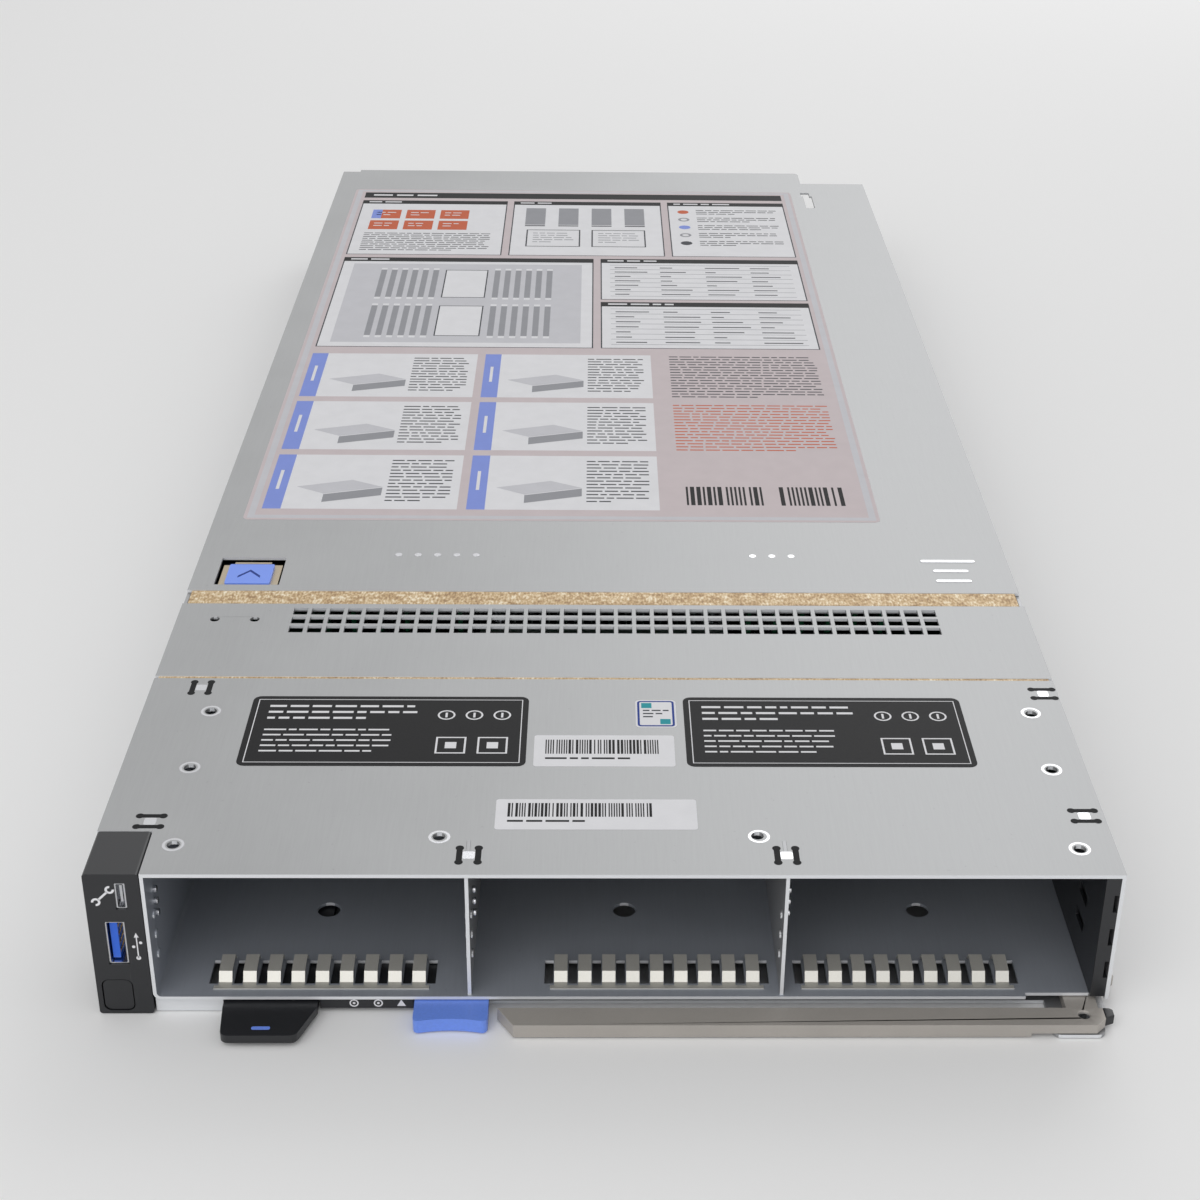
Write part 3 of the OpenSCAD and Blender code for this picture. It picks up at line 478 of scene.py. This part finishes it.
class Label(Solid):
    """A thin label that lies on a top face. Its print is given from its front left corner."""

    def __init__(self, x, y, width, length, top, corner=1.0, film=0):
        super().__init__()
        self.x, self.y, self.width, self.length, self.top = x, y, width, length, top
        self.prism(rounded(x, y, x + width, y + length, corner), top, top + FILM, film)

    def mark(self, u0, v0, u1, v1, finish, layer=1, corner=0.0):
        low = self.top + FILM + (layer - 1) * INK
        area = (self.x + u0, self.y + v0, self.x + u1, self.y + v1)
        if corner:
            self.prism(rounded(*area, corner, 3), low, low + INK, finish)
        else:
            self.box((area[0], area[1], low), (area[2], area[3], low + INK), finish)

    def outline(self, u0, v0, u1, v1, wide, finish, layer=1):
        self.mark(u0, v0, u1, v0 + wide, finish, layer)
        self.mark(u0, v1 - wide, u1, v1, finish, layer)
        self.mark(u0, v0 + wide, u0 + wide, v1 - wide, finish, layer)
        self.mark(u1 - wide, v0 + wide, u1, v1 - wide, finish, layer)

    def spot(self, u, v, r, finish, layer=1, hole=0.0):
        low = self.top + FILM + (layer - 1) * INK
        if hole:
            self.ring(self.x + u, self.y + v, r, hole, low, low + INK, finish, steps=16)
        else:
            self.disc(self.x + u, self.y + v, r, low, low + INK, finish, steps=16)

    def words(self, u0, v0, u1, v1, finish, pitch=2.2, tall=0.8, layer=1, seed=1, word=(2.0, 6.0)):
        """Rows of dashes that stand for lines of text."""
        rng = random.Random(seed)
        rows = max(1, int((v1 - v0) / pitch))
        for row in range(rows):
            v = v1 - (row + 0.7) * pitch
            u = u0
            end = u1 if row < rows - 1 else u0 + (u1 - u0) * rng.uniform(0.4, 0.9)
            while u < end - word[0]:
                long = min(rng.uniform(*word), end - u)
                self.mark(u, v, u + long, v + tall, finish, layer)
                u += long + tall

    def bars(self, u0, v0, u1, v1, finish, seed=1, layer=1, thin=0.35):
        """Upright bars of two widths."""
        rng = random.Random(seed)
        u = u0
        while u < u1 - 2 * thin:
            wide = thin * rng.choice((1, 1, 2))
            self.mark(u, v0, u + wide, v1, finish, layer)
            u += wide + thin * rng.choice((1, 1, 2))


LABEL_INKS = [BLUSH, WHITE, BLACK, CHARCOAL, MID_GREY, PALE_GREY, TERRACOTTA, PERIWINKLE]
PAPER, CLEAN, DARK, SOFT_DARK, MID, PALE, RED, BLUE = range(8)


def titled_panel(label, u0, v0, u1, v1, seed):
    """A white panel with a frame and a dark title bar along its rear edge."""
    label.mark(u0, v0, u1, v1, CLEAN)
    label.outline(u0, v0, u1, v1, 0.5, SOFT_DARK, 2)
    label.mark(u0, v1 - 5, u1, v1, DARK, 3)
    label.words(u0 + 3, v1 - 4.4, u0 + min(34, u1 - u0 - 4), v1 - 0.8, CLEAN, 3.2, 1.5, 4, seed, (3, 8))


def slot_blocks(label, u0, v0, seed):
    """Six terracotta blocks in two rows of three, one of them with a blue third."""
    for row in range(2):
        for column in range(3):
            u, v = u0 + column * 15.5, v0 + row * 15.5
            label.mark(u, v, u + 13, v + 12.5, RED, 3)
            block = seed + row * 3 + column
            label.words(u + 2, v + 3, u + 11, v + 10.5, CLEAN, 3.4, 0.9, 4, block, (2, 4))
    label.mark(u0, v0 + 15.5, u0 + 4.3, v0 + 28, BLUE, 4)


def bank_diagram(label, u0, v0, u1, v1):
    """Grey bars with white ends, as a plan of the memory banks."""
    label.mark(u0, v0, u1, v1, PALE, 2)
    middle = (u0 + u1) / 2
    for bank in (0, 1):
        v = v0 + 5 + bank * (v1 - v0 - 5) / 2
        tall = (v1 - v0) / 2 - 8
        for side in (-1, 1):
            for i in range(6):
                u = middle + side * (13 + i * 4.4) - 1.2
                label.mark(u, v, u + 2.4, v + tall, MID, 3)
                label.mark(u, v, u + 2.4, v + 2.2, CLEAN, 4)
                label.mark(u, v + tall - 2.2, u + 2.4, v + tall, CLEAN, 4)
        label.mark(middle - 9, v + 2, middle + 9, v + tall - 2, CLEAN, 3)
        label.outline(middle - 9, v + 2, middle + 9, v + tall - 2, 0.5, SOFT_DARK, 4)


def table_lines(label, u0, v0, u1, v1, rows, seed):
    """A table: ruled rows with a short entry in each column."""
    rng = random.Random(seed)
    pitch = (v1 - v0) / rows
    for row in range(rows + 1):
        v = v0 + row * pitch
        label.mark(u0, v, u1, v + 0.35, MID, 2)
    for row in range(rows):
        v = v0 + (row + 0.36) * pitch
        for column in range(4):
            u = u0 + 2 + column * (u1 - u0) / 4
            label.mark(u, v, u + rng.uniform(4, (u1 - u0) / 4 - 4), v + 0.9, SOFT_DARK, 2)


def solid_drawing(label, u, v, size, finish):
    """A small drawing of a box seen from a corner."""
    x, y = label.x + u, label.y + v
    low = label.top + FILM + 2 * INK
    slope = size * 0.28
    front = [
        (x, y),
        (x + size, y + slope),
        (x + size, y + slope * 2.1),
        (x, y + slope * 1.1),
    ]
    label.prism(front, low, low + INK, finish)
    back = [
        (x, y + slope * 1.2),
        (x + size, y + slope * 2.2),
        (x + size * 0.45, y + slope * 3.2),
        (x - size * 0.5, y + slope * 2.2),
    ]
    label.prism(back, low, low + INK, PALE)


def step_panel(label, u0, v0, u1, v1, seed):
    """One step of the instructions: a blue tab, a drawing and a few lines."""
    label.mark(u0, v0, u1, v1, CLEAN)
    label.mark(u0, v0, u0 + 6, v1, BLUE, 2)
    label.mark(u0 + 2.4, v0 + (v1 - v0) * 0.35, u0 + 3.5, v0 + (v1 - v0) * 0.7, CLEAN, 3)
    wide = u1 - u0
    solid_drawing(label, u0 + 6 + wide * 0.2, v0 + 5, wide * 0.3, MID)
    label.words(u0 + wide * 0.62, v0 + 4, u1 - 3, v1 - 3, SOFT_DARK, 2.6, 0.8, 2, seed)


def cover_label():
    """The service label on the cover, in generic panels."""
    x0, x1, y0, y1 = -116, 89, FRONT + 190, FRONT + 541
    label = Label(x0, y0, x1 - x0, y1 - y0, COVER_HIGH.z, 2.0)
    wide, long = x1 - x0, y1 - y0
    label.outline(1.2, 1.2, wide - 1.2, long - 1.2, 2.2, PALE)
    label.mark(5, long - 13, wide - 5, long - 5, DARK)
    label.words(9, long - 11.2, 74, long - 6.8, CLEAN, 4.4, 2.0, 2, 3, (5, 12))
    # Rear row: drives, memory and legend
    titled_panel(label, 5, 258, 72, 334, 11)
    slot_blocks(label, 11, 292, 20)
    label.words(10, 262, 66, 288, SOFT_DARK, 2.5, 0.8, 2, 12)
    titled_panel(label, 75, 258, 143, 334, 13)
    for i in range(4):
        label.mark(81 + i * 15, 300, 90 + i * 15, 324, MID, 3)
        label.mark(81 + i * 15, 298, 90 + i * 15, 299.2, SOFT_DARK, 3)
    for i in range(2):
        label.outline(82 + i * 29, 270, 106 + i * 29, 293, 0.6, SOFT_DARK, 3)
        label.words(85 + i * 29, 274, 103 + i * 29, 290, MID, 3, 0.8, 3, 31 + i)
    titled_panel(label, 146, 258, wide - 5, 334, 15)
    for i in range(5):
        label.spot(153, 320 - i * 11, 2.6, (RED, MID, BLUE, MID, SOFT_DARK)[i], 3, 1.5 if i % 2 else 0)
        label.words(159, 315.5 - i * 11, wide - 9, 324 - i * 11, SOFT_DARK, 2.6, 0.8, 3, 41 + i)
    # Middle row: plan of the board and its tables
    titled_panel(label, 5, 150, 112, 254, 17)
    bank_diagram(label, 10, 155, 107, 246)
    titled_panel(label, 115, 204, wide - 5, 254, 19)
    table_lines(label, 119, 208, wide - 9, 246, 7, 21)
    titled_panel(label, 115, 150, wide - 5, 201, 23)
    table_lines(label, 119, 154, wide - 9, 193, 7, 24)
    # Front rows: steps, one beside the other
    for row in range(3):
        for column in range(2):
            u0 = 5 + column * 66
            step_panel(label, u0, 8 + row * 46.5, u0 + 63, 50 + row * 46.5, 50 + row * 2 + column)
    label.words(141, 100, wide - 8, 143, SOFT_DARK, 2.6, 0.8, 1, 71)
    label.words(141, 54, wide - 8, 96, RED, 2.6, 0.8, 1, 72)
    label.bars(143, 12, 170, 26, DARK, 73, 1, 0.7)
    label.bars(174, 12, wide - 8, 26, DARK, 74, 1, 0.7)
    return label.piece("cover_label", "cover", "ivory_shield", LABEL_INKS)


def bay_labels():
    """Two black labels with white marks on the plate over the drive bays."""
    for name, x0, x1, seed in (("left", -96, -21, 5), ("right", 21, 97, 6)):
        label = Label(x0, FRONT + 47, x1 - x0, 34.5, TOP, 2.2)
        wide = x1 - x0
        label.outline(1.6, 1.6, wide - 1.6, 32.9, 0.25, 1)
        label.words(5, 21, wide - 30, 31, 1, 3.0, 1.0, 1, seed)
        label.words(5, 5, wide - 36, 19, 1, 2.6, 0.7, 1, seed + 10)
        for i in range(3):
            label.spot(wide - 22 + i * 7.5, 25, 2.4, 1, 1, 1.9)
            label.mark(wide - 22.3 + i * 7.5, 23.8, wide - 21.7 + i * 7.5, 26.2, 1)
        for i in range(2):
            label.outline(wide - 24 + i * 11, 6, wide - 16 + i * 11, 14, 0.5, 1)
            label.mark(wide - 21.5 + i * 11, 8.5, wide - 18.5 + i * 11, 11.5, 1)
        label.piece("bay_label_" + name, "chassis", "black_plastic", [LABEL_BLACK, WHITE])


def asset_labels():
    """White labels with bars, and the small badge."""
    front = Label(-27.8, FRONT + 18.7, 50.4, 13.2, TOP, 0.8)
    front.bars(3, 5.5, 40, 11.5, 1, 81, 1, 0.32)
    front.words(3, 1.2, 44, 4.8, 1, 2.2, 0.8, 1, 82)
    front.piece("asset_label_front", "chassis", "ivory_shield", [WHITE, BLACK])
    middle = Label(-19, FRONT + 47, 37, 15, TOP, 0.8)
    middle.bars(3, 6, 34, 12.8, 1, 83, 1, 0.32)
    middle.words(3, 1.4, 32, 5, 1, 2.2, 0.8, 1, 84)
    middle.piece("asset_label_middle", "chassis", "ivory_shield", [WHITE, BLACK])
    badge = Label(8, FRONT + 66, 11, 14, TOP, 1.2)
    badge.mark(0.5, 0.5, 10.5, 13.5, 1, 1, 0.9)
    badge.mark(1.1, 1.1, 9.9, 12.9, 0, 2, 0.5)
    badge.mark(1.6, 9.8, 4.4, 12.4, 2, 3)
    badge.mark(6.6, 1.6, 9.4, 4.2, 2, 3)
    badge.words(2, 4.6, 9, 9.4, 3, 1.6, 0.6, 3, 85, (1.5, 3))
    badge.piece("badge", "chassis", "ivory_shield", [WHITE, NAVY, TEAL, CHARCOAL])


# ---- front controls --------------------------------------------------------------------------


def latch_mark():
    """The arrow head on the latch's touch pad."""
    low, high = box_mm("cover_latch_pad")
    middle, y = (low.x + high.x) / 2, (low.y + high.y) / 2
    mark = Solid()
    wing, rise, wide = 3.4, 2.6, 1.3
    outline = [(middle - wing, y - rise), (middle, y + rise - wide), (middle + wing, y - rise),
               (middle + wing, y - rise + wide), (middle, y + rise), (middle - wing, y - rise + wide)]
    mark.prism(outline, high.z - SINK, high.z + INK)
    mark.piece("latch_mark", "cover_latch", "blue_plastic", [NAVY])


def usb_details():
    """Gold contacts on the blue tongue."""
    low, high = box_mm("usb_tongue")
    contacts = Solid()
    for i in range(4):
        z = low.z + 1.4 + i * (high.z - low.z - 3.6) / 3
        contacts.box((high.x - 0.05, low.y + 0.6, z), (high.x + 0.06, low.y + 7, z + 0.9))
    contacts.piece("usb_contacts", "chassis", "gold_contact", [FINISHES["gold_contact"]])


def panel_icons():
    """Small white signs beside the two sockets."""
    face = box_mm("panel_housing")[0].y
    left = -WALL
    icons = Solid()
    # An open-ended wrench beside the small socket, rising to the right
    for x, z, aim in ((left + 2.6, 34.0, 225), (left + 6.2, 37.6, 45)):
        jaw = arc(x, z, 1.15, aim + 38, aim + 322, 14) + arc(x, z, 0.55, aim + 322, aim + 38, 14)
        icons.prism(jaw, face - INK, face + SINK, axis="y")
    icons.prism([(left + 3.1, 34.9), (left + 3.5, 34.5), (left + 5.7, 36.7), (left + 5.3, 37.1)],
                face - INK, face + SINK, axis="y")
    # A branching sign beside the large socket
    u = left + 11.2
    icons.prism([(u - 0.15, 17.2), (u + 0.15, 17.2), (u + 0.15, 23.4), (u - 0.15, 23.4)],
                face - INK, face + SINK, axis="y")
    icons.disc(u, 17.2, 0.6, face - INK, face + SINK, axis="y", steps=14)
    icons.prism([(u - 0.6, 23.4), (u + 0.6, 23.4), (u, 24.8)], face - INK, face + SINK, axis="y")
    icons.disc(u - 0.9, 20.6, 0.42, face - INK, face + SINK, axis="y", steps=12)
    icons.disc(u + 0.9, 21.8, 0.42, face - INK, face + SINK, axis="y", steps=12)
    icons.piece("panel_icons", "chassis", "ivory_shield", [WHITE])


def strip_icons():
    """Two ring signs and a triangle on the status strip."""
    low, high = box_mm("status_strip")
    face = low.y
    middle = (low.z + high.z) / 2
    icons = Solid()
    for x in (low.x + 8.5, low.x + 14.5):
        icons.ring(x, middle, 1.15, 0.8, face - INK, face + SINK, axis="y", steps=20)
        icons.disc(x, middle, 0.35, face - INK, face + SINK, axis="y", steps=12)
    x = low.x + 20.2
    icons.prism([(x - 1.1, middle - 0.9), (x + 1.1, middle - 0.9), (x, middle + 1.1)],
                face - INK, face + SINK, axis="y")
    icons.piece("strip_icons", "chassis", "ivory_shield", [WHITE])


def tag_mark():
    """A small blue dash near the tag's tip."""
    low, high = box_mm("information_tag")
    mark = Solid()
    middle = (low.x + high.x) / 2
    dash = rounded(middle - 3.4, low.y + 2.2, middle + 1.2, low.y + 3.4, 0.5, 3)
    mark.prism(dash, high.z - SINK, high.z + INK)
    mark.piece("tag_mark", "information_tag", "blue_plastic", [FINISHES["blue_plastic"]])


# ---- pressed details of the sheets -------------------------------------------------------------


# Places of the folded tabs behind the bays' mouths, and whether each is turned across the sled
TAB_SLOTS = [
    (-33.5, 8, False), (43.7, 8, False), (-113, 22, True),
    (120, 25, True), (-111.3, 86, False), (121, 84, True),
]
# The CAD plate's screw holes
SCREW_HOLES = [
    (-105.5, 12.1), (-107.4, 46.1), (-106.6, 73.7), (-41.1, 15.5),
    (37.5, 15.9), (115.9, 10.9), (115.9, 46), (115.7, 73.9),
]
RIM_OUTER, RIM_INNER = 2.7, 2.0


def tab_slot(solid, x, y, turned):
    """A folded tab: two slots with round relief corners, painted black as painted shade, and a bright
    tab between them as a painted highlight.
    """
    apart, long, thin = 2.3, 2.9, 0.75
    relief, tab = 1.05, 1.5
    for side in (-1, 1):
        cx, cy = (x, y + side * apart) if turned else (x + side * apart, y)
        half_x, half_y = (long, thin) if turned else (thin, long)
        slot = rounded(cx - half_x, cy - half_y, cx + half_x, cy + half_y, 0.7, 4)
        # Painted shade: the slot openings and their round relief corners are black marks on top of the
        # plate.
        solid.prism(slot, TOP, TOP + INK, 0)
        for end in (-1, 1):
            ex, ey = (cx + end * long, cy) if turned else (cx, cy + end * long)
            solid.disc(ex, ey, relief, TOP, TOP + 2 * INK, 0, steps=14)
    # Painted highlight: the folded tab is a bright square.
    solid.prism(rounded(x - tab, y - tab, x + tab, y + tab, 0.5, 3), TOP, TOP + INK, 1)


def plate_details():
    """Tab slots, and the rims round the holes of the plate over the bays painted bright as painted
    highlights on their dimples.
    """
    details = Solid()
    for x, y, turned in TAB_SLOTS:
        tab_slot(details, x, FRONT + y, turned)
    for x, y in SCREW_HOLES:
        # Painted highlight: a bright ring round each hole.
        details.ring(x, FRONT + y, RIM_OUTER, RIM_INNER, TOP, TOP + 2 * INK, 1, steps=24)
    # Black here is painted shade in the slots, and bright steel is painted highlight on the rims and
    # tabs.
    details.piece("plate_details", "chassis", "galvanised_sheet", [BLACK, FINISHES["bright_steel"]])


def cover_details():
    """Three grip ribs near the cover's front right corner, and small dimples in one row in two groups,
    all in bright steel as a painted highlight on the pressed cover.
    """
    top = COVER_HIGH.z
    half_rib, rib_rise = 0.8, 0.16
    dimple_r, dimple_rise, dimple_pitch = 1.1, 0.08, 6
    ribs = Solid()
    for y, x0, x1 in ((163, 98, 115), (156.5, 101, 112), (150, 101, 112)):
        outline = rounded(x0, FRONT + y - half_rib, x1, FRONT + y + half_rib, 0.75, 5)
        ribs.prism(outline, top - 0.1, top + rib_rise)
    for start, count in ((-64, 5), (46, 3)):
        for i in range(count):
            x = start + i * dimple_pitch
            ribs.disc(x, FRONT + 166, dimple_r, top - 0.1, top + dimple_rise, steps=18)
    # Painted highlight: ribs and dimples are pressed from the cover sheet, but get the lighter bright
    # steel.
    ribs.piece("cover_ribs", "cover", "cover_sheet", [FINISHES["bright_steel"]], 0.06)


# ---- drive bays --------------------------------------------------------------------------------


def bay_studs():
    """Round locating studs high on the left side of each bay, near its mouth."""
    faces = [
        box_mm("drive_cage")[0].x,
        box_mm("bay_divider_left")[1].x,
        box_mm("bay_divider_right")[1].x,
    ]
    studs = Solid()
    for index, x in enumerate(faces):
        out = 1.9 if index == 0 else 0.9
        for z in (25, 28.5, 32):
            studs.disc(FRONT + 8, z, 0.95, x - 0.05, x + out, axis="x", steps=18)
    studs.piece("bay_studs", "chassis", "bright_steel", [FINISHES["bright_steel"]], 0.15)


# ---- rear ------------------------------------------------------------------------------------


def connector_contacts(side):
    """A bright blade in each opening of the rear connectors."""
    contacts = Solid()
    for low, high in solids("rear_connectors_" + side):
        pitch = (high.x - low.x - 1.6) / 6
        row_pitch = (high.z - low.z - 2.2) / 8
        for column in range(6):
            for row in range(8):
                x = low.x + 0.8 + (column + 0.5) * pitch
                z = low.z + 0.8 + row * row_pitch + (column % 2) * row_pitch / 2
                contacts.box((x - 0.62, high.y - 2.3, z + 0.2), (x + 0.62, high.y - 0.12, z + 1.0))
    contacts.piece("connector_contacts_" + side, "chassis", "gold_contact", [FINISHES["ivory_shield"]])


def card_parts(side):
    """Small parts soldered near the rear edge of a mezzanine card."""
    low, high = box_mm("mezzanine_card_" + side)
    rng = random.Random(7 if side == "left" else 8)
    top = high.z - 3
    parts = Solid()
    for i in range(26):
        x = low.x + 21 + rng.uniform(0, high.x - low.x - 26)
        y = high.y - rng.uniform(30, 34) if i % 2 else low.y + rng.uniform(3, 10)
        wide, long = rng.choice(((1.0, 0.5), (1.6, 0.8), (0.8, 1.6)))
        parts.box((x, y, top - 0.02), (x + wide, y + long, top + 0.5), i % 2)
    finishes = [FINISHES["tan_tongue"], FINISHES["black_plastic"]]
    parts.piece("card_parts_" + side, "chassis", "ivory_shield", finishes)


def connector_edges(side):
    """A pale strip along the top shoulders of the rear connectors, as a painted highlight on their
    edges.
    """
    shoulder_highlights = Solid()
    for low, high in solids("rear_connectors_" + side):
        for y in (low.y + 0.6, high.y - 0.6):
            shoulder_highlights.box((low.x + 0.3, y - 0.22, high.z - SINK), (high.x - 0.3, y + 0.22, high.z + 0.05))
    # Painted highlight: the strips are ivory on the grey housings.
    shoulder_highlights.piece("connector_edges_" + side, "chassis", "connector_grey", [FINISHES["ivory_shield"]])


def card_strip(side):
    """The card's green painted brighter in a strip along its rear edge, as painted light where that
    edge stands in the light, with white print.
    """
    low, high = box_mm("mezzanine_card_" + side)
    shield_low, shield_high = box_mm("card_shields_" + side)
    top = shield_low.z
    screw_low, screw_high = box_mm("captive_screw_" + side)
    strip = Solid()
    for x0, x1 in ((low.x + 0.6, screw_low.x - 0.5), (screw_high.x + 0.5, high.x - 0.6)):
        # Painted light: the strip is a brighter green than the rest of the card.
        strip.box((x0, shield_high.y + 0.3, top), (x1, high.y - 0.4, top + INK), 0)
    rng = random.Random(17)
    x = low.x + 3
    while x < high.x - 5:
        wide = rng.uniform(0.6, 2.2)
        if x + wide < screw_low.x - 0.6 or x > screw_high.x + 0.6:
            strip.box((x, high.y - 1.2, top + INK), (x + wide, high.y - 0.8, top + 2 * INK), 1)
        x += wide + rng.uniform(0.6, 3.0)
    strip.piece("card_strip_" + side, "chassis", "green_board", [LIT_BOARD_GREEN, WHITE])


# ---- inside ----------------------------------------------------------------------------------


def memory_chips():
    """Nine packages on each face of every memory module."""
    count, thick, wide, margin = 9, 0.9, 9, 5
    chips = Solid()
    for low, high in solids("memory_modules"):
        long = high.y - low.y
        for i in range(count):
            y = low.y + margin + i * (long - wide - 2 * margin) / (count - 1)
            for face, out in ((low.x, -thick), (high.x, thick)):
                x0, x1 = sorted((face - 0.02 * out, face + out))
                chips.box((x0, y, low.z + 9.5), (x1, y + wide, low.z + 21.5))
    chips.piece("memory_chips", "chassis", "black_plastic", [FINISHES["black_plastic"]])


def board_parts():
    """Rows of chokes, round capacitors and small parts on the system board."""
    low, high = box_mm("system_board")
    top = high.z
    rng = random.Random(12)
    parts = Solid()
    for base in (low.y + 10, low.y + 158, low.y + 306):
        for i in range(9):
            x = low.x + 22 + i * 22.5
            parts.box((x, base, top - 0.02), (x + 9, base + 9, top + 5), 0)
            parts.disc(x + 14.5, base + 4.5, 3.1, top - 0.02, top + 7.5, 1, steps=20)
        for i in range(40):
            x, y = low.x + rng.uniform(10, 220), base + rng.uniform(12, 15)
            parts.box((x, y, top - 0.02), (x + 1.8, y + 1.0, top + 0.8), 2)
    parts.piece("board_parts", "chassis", "black_plastic",
                [FINISHES["connector_grey"], FINISHES["bright_steel"], FINISHES["tan_tongue"]], 0.2)


# ---- CAD nodes -------------------------------------------------------------------------------

EDGE = {
    "base_tray": 0.12, "drive_cage": 0.12, "bay_divider_left": 0.12,
    "bay_divider_right": 0.12, "right_cage_wall": 0.12, "vent_plate": 0.1, "top_cover": 0.12,
    "wide_gasket": 0.3, "panel_housing": 0.25, "power_button": 0.3, "usb_shell": 0.08,
    "status_strip": 0.15, "information_tag": 0.3, "release_button": 0.3, "release_handle": 0.15,
    "handle_end_cap": 0.3, "cover_latch_pad": 0.15, "cover_latch_tongue": 0.1,
    "rear_connectors_left": 0.12, "rear_connectors_right": 0.12, "guide_block_left": 0.3,
    "guide_block_right": 0.3, "captive_screw_left": 0.25, "captive_screw_right": 0.25,
    "card_shields_left": 0.25, "card_shields_right": 0.25, "power_connector": 0.2,
    "mezzanine_card_left": 0.1, "mezzanine_card_right": 0.1, "drive_connectors": 0.15,
    "internal_usb_port": 0.1, "battery_holder": 0.2, "coin_battery": 0.2,
}


BLUE_CAP = 4.2  # height of the blue cap on each captive screw
BLUE_DEPTH = 1.5  # how far behind the bay mouths the release button is still blue


def dress_nodes():
    """Gives each CAD node the finish of its material slot, and soft edges where they show."""
    screw_top = box_mm("captive_screw_left")[1].z
    special = {
        "captive_screw_left": two_part_screw("captive_screw_finish", screw_top - BLUE_CAP),
        "release_button": split_plastic(
            "release_finish", srgb(112, 148, 240), srgb(34, 35, 38), FRONT + BLUE_DEPTH
        ),
        "memory_modules": upright_board("module_board", srgb(24, 104, 66)),
        "drive_backplane": upright_board("backplane_board", srgb(20, 70, 46)),
    }
    special["captive_screw_right"] = special["captive_screw_left"]
    for side in ("left", "right"):
        low, high = box_mm("card_shields_" + side)
        special["card_shields_" + side] = shielded_socket("shield_finish_" + side, low.z, high.z)
    for part in frame["record"]["subparts"]:
        name = part["node"]
        node = frame["nodes"][name]
        material = special.get(name, FINISHES[part["material_slot"]])
        if not node.material_slots:
            node.data.materials.append(material)
        for slot in node.material_slots:
            slot.material = material
        if name in EDGE:
            soften(node, EDGE[name])


# ---- studio ----------------------------------------------------------------------------------


def floor():
    data = bpy.data.meshes.new("floor")
    size = 6.0
    corners = [(-size, -size, 0), (size, -size, 0), (size, size, 0), (-size, size, 0)]
    data.from_pydata(corners, [], [(0, 1, 2, 3)])
    m = Finish("floor", 0.0, 0.85)
    m.shader.inputs["Base Color"].default_value = (0.9, 0.9, 0.9, 1.0)
    data.materials.append(m.material)
    made = bpy.data.objects.new("floor", data)
    made.location.z = -0.0002
    bpy.context.scene.collection.objects.link(made)


def studio_world():
    """Soft even light, and a white background for the camera and for reflections."""
    world = bpy.data.worlds.new("studio")
    bpy.context.scene.world = world
    world.use_nodes = True
    tree = world.node_tree
    light = tree.nodes["Background"]
    light.inputs["Color"].default_value = (1, 1, 1, 1)
    light.inputs["Strength"].default_value = 0.52
    seen = tree.nodes.new("ShaderNodeBackground")
    seen.inputs["Color"].default_value = (1, 1, 1, 1)
    seen.inputs["Strength"].default_value = 0.95
    path = tree.nodes.new("ShaderNodeLightPath")
    pick = path.outputs["Is Camera Ray"]
    for name in ("Is Glossy Ray", "Is Transmission Ray"):
        either = tree.nodes.new("ShaderNodeMath")
        either.operation = "MAXIMUM"
        tree.links.new(pick, either.inputs[0])
        tree.links.new(path.outputs[name], either.inputs[1])
        pick = either.outputs["Value"]
    mix = tree.nodes.new("ShaderNodeMixShader")
    tree.links.new(pick, mix.inputs["Fac"])
    tree.links.new(light.outputs["Background"], mix.inputs[1])
    tree.links.new(seen.outputs["Background"], mix.inputs[2])
    tree.links.new(mix.outputs["Shader"], tree.nodes["World Output"].inputs["Surface"])


def lamp(name, place, target, size, power):
    data = bpy.data.lights.new(name, "AREA")
    data.size = size
    data.energy = power
    made = bpy.data.objects.new(name, data)
    bpy.context.scene.collection.objects.link(made)
    made.location = place
    made.rotation_euler = (Vector(target) - Vector(place)).to_track_quat("-Z", "Y").to_euler()


def camera():
    """The camera looks down on the sled from in front of its drive bays."""
    pitch, yaw, roll = math.radians(27.85), 0.025, 0.016
    data = bpy.data.cameras.new("camera")
    data.lens = 61.2
    data.sensor_width = 36.0
    data.shift_x = -0.0317
    data.shift_y = -0.023
    data.clip_start, data.clip_end = 0.02, 40.0
    made = bpy.data.objects.new("camera", data)
    bpy.context.scene.collection.objects.link(made)
    ahead = math.cos(pitch)
    forward = Vector((math.sin(yaw) * ahead, math.cos(yaw) * ahead, -math.sin(pitch)))
    level = Vector((math.cos(yaw), -math.sin(yaw), 0))
    upright = level.cross(forward)
    across = math.cos(roll) * level + math.sin(roll) * upright
    up = -math.sin(roll) * level + math.cos(roll) * upright
    turn = Matrix((across, up, -forward)).transposed()
    made.matrix_world = Matrix.Translation((-0.0037, FRONT * MM - 0.3975, 0.3341)) @ turn.to_4x4()
    bpy.context.scene.camera = made


bpy.context.scene.view_settings.view_transform = "Standard"
floor()
studio_world()
lamp("key", (-0.5, -1.5, 1.25), (0, -0.2, 0), 2.0, 15)
lamp("back", (0.6, 1.6, 1.2), (0, 0.2, 0), 1.4, 10)
camera()
dress_nodes()
cover_label()
bay_labels()
asset_labels()
latch_mark()
usb_details()
panel_icons()
plate_details()
cover_details()
bay_studs()
strip_icons()
tag_mark()
for side in ("left", "right"):
    connector_contacts(side)
    connector_edges(side)
    card_strip(side)
    card_parts(side)
memory_chips()
board_parts()

bpy.context.view_layer.update()
